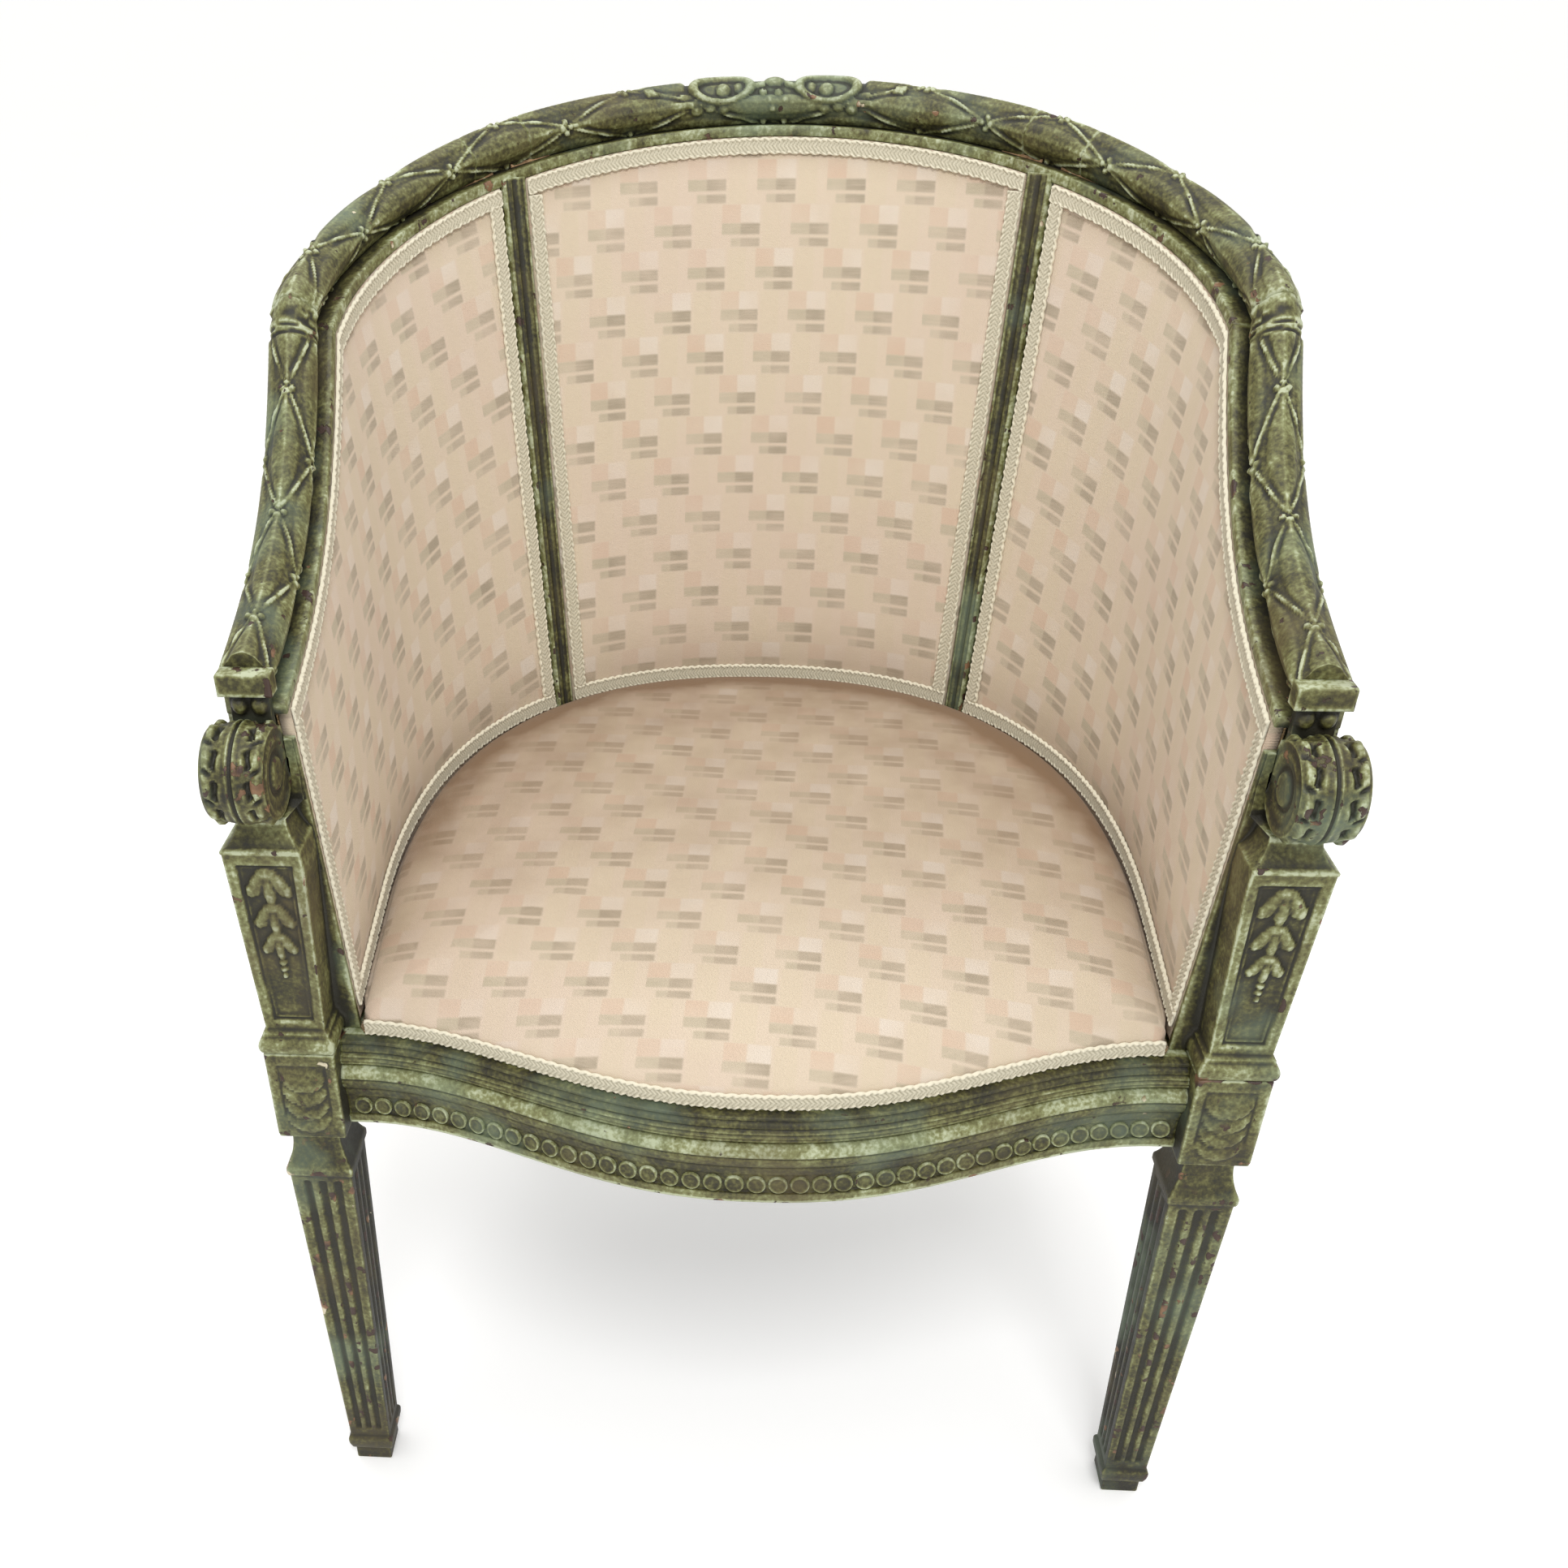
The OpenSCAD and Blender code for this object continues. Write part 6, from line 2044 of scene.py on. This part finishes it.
@dataclass
class Seat:
    """Domed sprung seat: springs, canvas, stuffing, cover, front gimp and dust cloth."""

    plan: TubPlan
    rail: FrontRail
    crown: float = 22.0
    gap: float = 4.6
    cover_t: float = 1.6
    soft_gap: float = 0.3
    canvas_foot: float = 382.3
    canvas_rise: float = 15.0
    canvas_t: float = 1.2
    centre_y: float = 191.04
    least: float = 0.06
    spring_r: float = 34.0
    waist_r: float = 22.0
    wire: float = 3.6
    turns: int = 5
    flat: float = 0.13
    turn: float = 4.0
    bar_at: tuple[float, float] = (-17.3, -163.0)
    phase: float = 11.8
    spread: tuple[float, float] = (0.5, 0.46)
    cover_side: float = 0.6
    spring_places: Places = (
        (-0.3, 0.28), (0, 0.24), (0.3, 0.28), (-0.3, 0.52), (0, 0.5), (0.3, 0.52), (-0.17, 0.76),
        (0.17, 0.76),
    )

    def _outline(self, inset: float, lift: float, tuck: float = 0.0) -> Array:
        """Edge of the seat, from the middle of the back round by one wall, the front and the other wall.

        Args:
            inset: How far the edge lies inside the walls.
            lift: Share of the edge's own rise.
            tuck: How far the sides reach out again, below the braid.

        Returns:
            Places with their rise.
        """
        plan = self.plan
        top = plan.seat_top

        def wall(s: Array) -> Array:
            """Give one wall's part.

            Args:
                s: Share of the run.

            Returns:
                Places with their rise.
            """
            z = top + lift * plan.edge_rise(s)
            ease = tuck * smooth(1 - np.abs(s), 0, 0.04)[:, None]
            flat = plan.plan(s, z) + (inset - ease) * plan.inward(s, z)
            return np.column_stack([flat, lift * plan.edge_rise(s)])

        x = np.linspace(plan.side_x - inset, -plan.side_x + inset, 160)[1:-1]
        y = self.rail.seat_front(x) + inset - self.gap
        end = float(plan.edge_rise(np.array([1.0]))[0])
        front = np.column_stack([x, y, lift * mix(plan.edge_front, end, (1 - self.rail.bow(x)) * 0.5)])
        return np.vstack([wall(np.linspace(0, 1, 190)), front, wall(np.linspace(-1, 0, 190)[:-1])])

    def _ring(self, inset: float, base: float, lift: float, k: Array, h: Array) -> Array:
        """Rings of the seat at shares of the way out, lifted.

        Args:
            inset: How far the edge lies inside the walls.
            base: Height of the seat rails.
            lift: Share of the edge's own rise.
            k: Shares of the way out.
            h: Height added to each ring.

        Returns:
            Rings by columns by 3.
        """
        p = self._outline(inset, lift)[None]
        k, h = k[:, None], h[:, None]
        out = np.clip((k - self.least) / (1 - self.least), 0, 1) ** 1.5
        middle = mix(self.plan.edge_front, self.plan.edge_back, 0.65) * lift
        z = base + mix(middle, p[..., 2], out) + h
        return np.stack([p[..., 0] * k, mix(self.centre_y, p[..., 1], k), z], -1)

    def _dome(self, inset: float, base: float, k: Array) -> Array:
        """Rings of the dome."""
        return self._ring(inset, base, 1, k, self.crown * (1 - k**2.6) ** 0.42)

    def _shares(self, count: int) -> Array:
        """Shares from the middle to the edge, closer together near the edge."""
        t = np.linspace(0, 1, count)
        return np.maximum(np.sin(t * math.pi / 2) ** 0.9, 0.004)

    def _cloth(self, rings: Array) -> Array:
        """Lay the cloth from the middle outwards, keeping its length.

        Args:
            rings: The cover's rings, from the middle out.

        Returns:
            Places on the cloth.
        """
        flat = rings[..., :2] - (0, self.centre_y)
        way = unit(flat[60])
        run = np.linalg.norm(np.diff(rings, axis=0), axis=2)
        run = np.vstack([np.zeros((1, run.shape[1])), np.cumsum(run, 0)])
        extra = run - np.linalg.norm(flat, axis=2)
        x = flat[..., 0] + way[None, :, 0] * extra * 0.3 - self.bar_at[0]
        y = flat[..., 1] + way[None, :, 1] * extra - self.bar_at[1]
        return turned(x, y, self.turn, self.phase)

    def build(self, bench: Bench) -> None:
        """Make the seat from the top down.

        Args:
            bench: Places the pieces.
        """
        top = self.plan.seat_top
        k = self._shares(90)
        outer = self._dome(self.gap, top, k)
        foot = self.canvas_foot + self.canvas_t + self.soft_gap
        rim = np.linspace(0, 1, 9)[1:, None]
        reach = self._outline(self.gap, 1, self.gap - 0.6)
        drop = np.repeat(outer[-1:], 8, 0)
        drop[..., :2] = mix(outer[-1:, :, :2], reach[None, :, :2], smooth(rim, 0, 0.3)[..., None])
        drop[..., 2] = mix(outer[-1:, :, 2] + 0.6 * np.exp(-rim * 9), foot, rim**1.6)
        inner_edge = self._ring(self.gap + self.cover_t, 0, 0, np.array([1.0]), np.array([0.0]))
        inner_edge[..., 2] = foot
        inner = self._dome(self.gap + self.cover_t, top - self.cover_t, k)[::-1]
        face = np.concatenate([outer, drop])
        cloth = self._cloth(face)
        full = np.concatenate([cloth, cloth[-1:], cloth[: len(k)][::-1]])
        # Painted shade: the cover darkens along its edges where it meets the walls and towards the back,
        # least at the front.
        front = smooth(outer[-1, :, 1], 60, 5)
        edge = np.concatenate([k, np.ones(8), [1], k[::-1]])[:, None]
        soil = (0.55 * smooth(edge, 0.8, 1.0) + 0.12 * smooth(edge, 0.4, 0.8)) * (1 - 0.75 * front[None])
        rings = np.concatenate([face, inner_edge, inner])
        far = smooth(rings[..., 1], 60, 330)
        soil = soil * (0.35 + 0.85 * far) + 0.04 + 0.3 * smooth(rings[..., 1], -20, 170) + 0.14 * far
        cover = Skin()
        cover.grid(rings, cloth=full, soil=soil)
        piece = bench.place(cover, "seat_top_cover", Finish.CLOTH, ["seat_cover"])
        Cut(self.cover_side, self.cover_side, self._area(face)).declare(piece, "stretched", ["stuffed_seat"])
        self._build_stuffing(bench)
        self._build_canvas(bench)
        self._build_springs(bench)
        self._build_dust_cloth(bench)
        self._build_gimp(bench)

    def _area(self, rings: Array) -> float:
        """Add up the faces of closed rings, in square metres."""
        return face_area(np.concatenate([rings, rings[:, :1]], 1)) * MM * MM

    def _canvas(self, lift: float, k: Array) -> Array:
        """Rings of the sprung canvas."""
        inset = self.gap + self.cover_t + 2 * self.soft_gap
        return self._ring(inset, self.canvas_foot + lift, 0, k, self.canvas_rise * (1 - k**14))

    def _build_stuffing(self, bench: Bench) -> None:
        """Make the stuffing.

        Args:
            bench: Places the pieces.
        """
        inset = self.gap + self.cover_t + 2 * self.soft_gap
        drop = self.cover_t + 2 * self.soft_gap
        k = self._shares(46)
        under = self._canvas(self.canvas_t + self.soft_gap, k)[::-1]
        rings = np.concatenate([self._dome(inset, self.plan.seat_top - drop, k), under])
        skin = Skin()
        skin.grid(rings, cloth=rings[..., :2])
        bench.place(skin, "stuffed_seat", Finish.STUFFING, ["seat_stuffing"])

    def _build_canvas(self, bench: Bench) -> None:
        """Make the canvas over the springs.

        Args:
            bench: Places the pieces.
        """
        k = self._shares(34)
        edge = self._outline(self.soft_gap, 0)[None].copy()
        edge[..., 1] = np.maximum(edge[..., 1], self.rail.seat_front(edge[..., 0]) + self.soft_gap)
        low, high = edge.copy(), edge.copy()
        low[..., 2], high[..., 2] = self.canvas_foot, self.canvas_foot + self.canvas_t
        face = np.concatenate([self._canvas(self.canvas_t, k), high])
        rings = np.concatenate([face, low, self._canvas(0, k)[::-1]])
        skin = Skin()
        skin.grid(rings, cloth=rings[..., :2])
        piece = bench.place(skin, "sprung_canvas", Finish.HESSIAN, ["spring_canvas"])
        Cut(*self.spread, self._area(face)).declare(piece, "stretched", ["coil_springs"])

    def _build_springs(self, bench: Bench) -> None:
        """Make the coil springs.

        Args:
            bench: Places the pieces.
        """
        low = self.rail.foot + self.soft_gap + self.wire / 2
        high = self.canvas_foot + self.canvas_rise * 0.9 - self.wire / 2
        t = np.linspace(0, 1, self.turns * 28 + 1)
        turn = 2 * math.pi * self.turns * t
        r = mix(self.waist_r, self.spring_r, np.abs(2 * t - 1) ** 2)
        z = mix(low, high, np.clip((t - self.flat) / (1 - 2 * self.flat), 0, 1))
        b = np.linspace(0, 2 * math.pi, 11)[:-1]
        half = self.wire / 2
        skin = Skin()
        for x, y in self.spring_places:
            away = r[:, None] + half * np.cos(b)[None]
            across = x * 2 * self.plan.side_x + away * np.cos(turn)[:, None]
            deep = y * self.plan.seat_d + away * np.sin(turn)[:, None]
            skin.grid(np.stack([across, deep, z[:, None] + half * np.sin(b)[None]], -1))
        bench.place(skin, "coil_springs", Finish.SPRING, ["seat_springs"])

    def _build_dust_cloth(self, bench: Bench) -> None:
        """Make the cloth under the seat.

        Args:
            bench: Places the pieces.
        """
        outline = self._outline(self.soft_gap, 0)[None] + (0, 1, 0)
        k = self._shares(24)[:, None, None]
        rings = []
        for z in (self.rail.foot - 4 - self.soft_gap, self.rail.foot - 5 - self.soft_gap):
            ring = outline * k + (1 - k) * np.array([0, self.centre_y, 0])
            ring[..., 2] = z
            rings.append(ring)
        skin = Skin()
        sheet = np.concatenate([rings[0], rings[1][::-1]])
        skin.grid(sheet, cloth=sheet[..., :2])
        piece = bench.place(skin, "underside_dust_cloth", Finish.DUST, ["dust_cloth"])
        Cut(*self.spread, self._area(rings[0])).declare(piece, "stretched", ["moulded_front_rail"])

    def _build_gimp(self, bench: Bench) -> None:
        """Make the braid along the front of the seat.

        Args:
            bench: Places the pieces.
        """
        braid = Braid()
        x = steps(self.plan.side_x - self.gap, -self.plan.side_x + self.gap, 0.8)
        y = self.rail.seat_front(x) - self.soft_gap
        run = run_up(np.hypot(np.diff(x), np.diff(y)))
        across, height = braid.section(run)
        slope = np.gradient(y, x)
        out = np.stack([slope, -np.ones_like(slope)], 1) / np.hypot(slope, 1)[:, None]
        flat = np.stack([x, y], 1)[:, None] + height[..., None] * out[:, None]
        z = self.plan.seat_top + self.soft_gap + braid.width / 2 + across
        skin = Skin()
        skin.grid(np.concatenate([flat, z[..., None]], -1))
        bench.place(skin, "front_gimp", Finish.GIMP, ["gimp_seat_front"], reach=0.4)


@dataclass
class Webbing:
    """Interlaced jute straps nailed under the seat rails."""

    seat: Seat
    width: float = 50.0
    thick: float = 1.3
    rise: float = 1.0
    long_pitch: float = 70.95
    cross_ys: tuple[float, ...] = (96.6, 186.12, 275.64)
    over: tuple[float, float] = (20.0, 24.0)

    def _cover(self, x: float) -> float:
        """Depth of the walls' plan at a place across the chair.

        Args:
            x: Place across the chair.

        Returns:
            The depth.
        """
        plan = self.seat.plan
        share = min(1.0, (abs(x) + self.width / 2) / plan.side_x)
        out = (1 - share**plan.squareness) ** (1 / plan.squareness)
        return plan.straight + (plan.seat_d - plan.straight) * out

    def _strap(self, line: Array, wave: Array, lengthwise: bool) -> tuple[Skin, Array]:
        """Make one strap along a line, with its rise over and under the others.

        Args:
            line: Places along the strap.
            wave: Its rise at each.
            lengthwise: Whether it runs from front to back.

        Returns:
            The strap and the points of its upper face.
        """
        across = np.linspace(-self.width / 2, self.width / 2, 15)
        z = self.seat.rail.foot - 2 + wave
        u, v, level = np.broadcast_arrays(line[:, None], across[None], z[:, None])
        flat = (v, u) if lengthwise else (u, v)
        top = np.stack([*flat, level + self.thick / 2], -1)
        under = np.stack([*flat, level - self.thick / 2], -1)[:, ::-1]
        ring = np.concatenate([top, under], 1)
        skin = Skin()
        skin.grid(ring, cloth=ring[..., :2])
        return skin, top

    def build(self, bench: Bench) -> None:
        """Make every strap.

        Args:
            bench: Places the pieces.
        """
        rail, plan = self.seat.rail, self.seat.plan
        longs = [i * self.long_pitch for i in range(-2, 3)]
        for i, x in enumerate(longs):
            start = float(rail.face(np.array(x))) + rail.thick * 0.45
            line = steps(start, self._cover(x) + self.over[0], 6)
            wave = np.zeros_like(line)
            for j, y in enumerate(self.cross_ys):
                wave += (1 if (i + j) % 2 == 0 else -1) * self.rise * (1 - smooth(np.abs(line - y), 22, 42))
            skin, face = self._strap(line, wave, True)
            skin.shift(x, 0)
            piece = bench.place(skin, f"long_strap_{i + 1}", Finish.WEBBING, ["seat_webbing"])
            Cut.of(face).declare(piece, "stretched", ["moulded_front_rail", "seat_rail_back"])
        for j, y in enumerate(self.cross_ys):
            share = max(0.0, y + self.width / 2 - plan.straight) / (plan.seat_d - plan.straight)
            half = plan.side_x * (1 - share**plan.squareness) ** (1 / plan.squareness)
            half = min(plan.side_x + self.over[0], half + self.over[1])
            line = steps(-half, half, 6)
            wave = np.zeros_like(line)
            for i, x in enumerate(longs):
                wave -= (1 if (i + j) % 2 == 0 else -1) * self.rise * (1 - smooth(np.abs(line - x), 22, 34))
            skin, face = self._strap(line, wave, False)
            skin.shift(0, y)
            piece = bench.place(skin, f"cross_strap_{j + 1}", Finish.WEBBING, ["seat_webbing"])
            Cut.of(face).declare(piece, "stretched", ["seat_rail_left", "seat_rail_right"])


# Stage


@dataclass
class Stage:
    """Floor, light and camera."""

    focus: float = 1829.7
    principal: tuple[float, float] = (778.3, 1164.1)
    side: float = 1932.0
    place: tuple[float, float, float] = (-0.0212, -0.90465, 0.9201)
    pitch: float = 34.3
    yaw: float = -4.3
    roll: float = -1.1
    fill: float = 0.86
    glow: float = 0.17
    floor_half: float = 60.0
    lamps: tuple[tuple[str, tuple[float, float, float], float, float], ...] = (
        ("key", (0.2, -1.6, 2.5), 0.8, 29.0),
        ("top", (-0.3, 0.5, 2.6), 1.4, 14.0),
    )

    def _camera(self) -> None:
        """Set up the camera of the photo."""
        pitch, yaw, roll = (math.radians(a) for a in (self.pitch, self.yaw, self.roll))
        ahead = Vector((math.sin(yaw) * math.cos(pitch), math.cos(yaw) * math.cos(pitch), -math.sin(pitch)))
        level = Vector((math.cos(yaw), -math.sin(yaw), 0))
        up = level.cross(ahead)
        right = level * math.cos(roll) + up * math.sin(roll)
        up = right.cross(ahead)
        data = bpy.data.cameras.new("photo_camera")
        data.sensor_width = 36.0
        data.lens = self.focus / self.side * data.sensor_width
        data.shift_x = (self.side / 2 - self.principal[0]) / self.side
        data.shift_y = (self.principal[1] - self.side / 2) / self.side
        data.clip_start = 0.01
        camera = bpy.data.objects.new("photo_camera", data)
        turn = Matrix((right, up, -ahead)).transposed().to_4x4()
        camera.matrix_world = Matrix.Translation(self.place) @ turn
        bpy.context.scene.collection.objects.link(camera)
        bpy.context.scene.camera = camera

    def _seen(self, shop: Shop) -> Wire:
        """Mark the rays of the camera, and those that a gloss or glass passes on.

        Args:
            shop: The material or world.

        Returns:
            1 for such rays, 0 for others.
        """
        path = shop.node("ShaderNodeLightPath").outputs
        seen = Wire(shop, path["Is Camera Ray"])
        for other in ("Is Glossy Ray", "Is Transmission Ray"):
            seen = shop.math("MAXIMUM", seen, Wire(shop, path[other]))
        return seen

    def _light(self) -> None:
        """Set up soft light from above and a white surround."""
        scene = bpy.context.scene
        scene.view_settings.view_transform = "Standard"
        world = bpy.data.worlds.new("white_surround")
        scene.world = world
        shop = Shop("white_surround", world)
        fill = shop.node(
            "ShaderNodeBackground", None, {"Color": linear(255, 254, 252), "Strength": self.fill}
        )
        white = shop.node("ShaderNodeBackground", None, {"Color": (1.0, 1.0, 1.0, 1.0), "Strength": 1.0})
        both = shop.node(
            "ShaderNodeMixShader", None, {0: self._seen(shop), 1: fill.outputs[0], 2: white.outputs[0]}
        )
        shop.node("ShaderNodeOutputWorld", None, {0: both.outputs[0]})
        for name, place, size, power in self.lamps:
            data = bpy.data.lights.new(name, "AREA")
            data.size = size
            data.energy = power
            lamp = bpy.data.objects.new(name, data)
            turn = Vector(place).to_track_quat("Z", "Y").to_matrix().to_4x4()
            lamp.matrix_world = Matrix.Translation(place) @ turn
            scene.collection.objects.link(lamp)

    def _floor(self) -> None:
        """Lay a pale floor."""
        mesh = bpy.data.meshes.new("floor")
        half = self.floor_half
        mesh.from_pydata(
            [(-half, -half, 0), (half, -half, 0), (half, half, 0), (-half, half, 0)], [], [(0, 1, 2, 3)]
        )
        floor = bpy.data.objects.new("floor", mesh)
        shop = Shop("pale_floor")
        colour = shop.blend(shop.noise(2.0, 2), (0.95, 0.95, 0.95, 1), (0.97, 0.97, 0.97, 1))
        glow = shop.blend(self._seen(shop), (0.0, 0.0, 0.0, 1.0), (1.0, 1.0, 1.0, 1.0))
        mesh.materials.append(
            shop.surface(Base_Color=colour, Roughness=0.9, Emission_Color=glow, Emission_Strength=self.glow)
        )
        bpy.context.scene.collection.objects.link(floor)

    def build(self) -> None:
        """Set the stage."""
        self._camera()
        self._light()
        self._floor()


CARRIED = {
    "seat_rail_left": Finish.PAINT_SHADE,
    "seat_rail_right": Finish.PAINT_SHADE,
    "seat_rail_back": Finish.PAINT_SHADE,
    "tacking_rail_left": Finish.WOOD,
    "tacking_rail_right": Finish.WOOD,
    "tacking_rail_back": Finish.WOOD,
    "corner_block_left": Finish.WOOD,
    "corner_block_right": Finish.WOOD,
    "frame_dowels": Finish.WOOD,
    "corner_screws": Finish.SCREW,
}


def main() -> None:
    """Build the chair's looks."""
    logging.basicConfig(level=logging.INFO, format="%(name)s %(message)s")
    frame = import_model()
    bench = Bench(frame["nodes"])
    plan = TubPlan()
    rail = CarvedRail(plan)
    leg = FrontLeg()
    front = FrontRail()
    seat = Seat(plan, front)
    strip, lip, wing = (length / plan.seat_run for length in (STRIP_HALF, PAD_LIP, POST_WING))
    rail.build(bench)
    BackStile(plan, rail).build(bench)
    ArmPost(leg, plan).build(bench)
    ArmScroll(leg, plan).build(bench)
    leg.build(bench)
    front.build(bench)
    inner = plan.stile - strip
    Panel(plan, "back", -inner, inner, -plan.stile, plan.stile, False).build(bench)
    side = Panel(
        plan, "side", plan.stile + strip, 1 - lip, plan.stile + COVER_GAP / plan.top_run, 1 - wing, True
    )
    side.turn, side.bar_at = 12.0, (263.0, 719.0)
    side.build(bench)
    seat.build(bench)
    Webbing(seat).build(bench)
    for node, finish in CARRIED.items():
        bench.dress(node, finish)
    Stage().build()


if __name__ == "__main__":
    main()
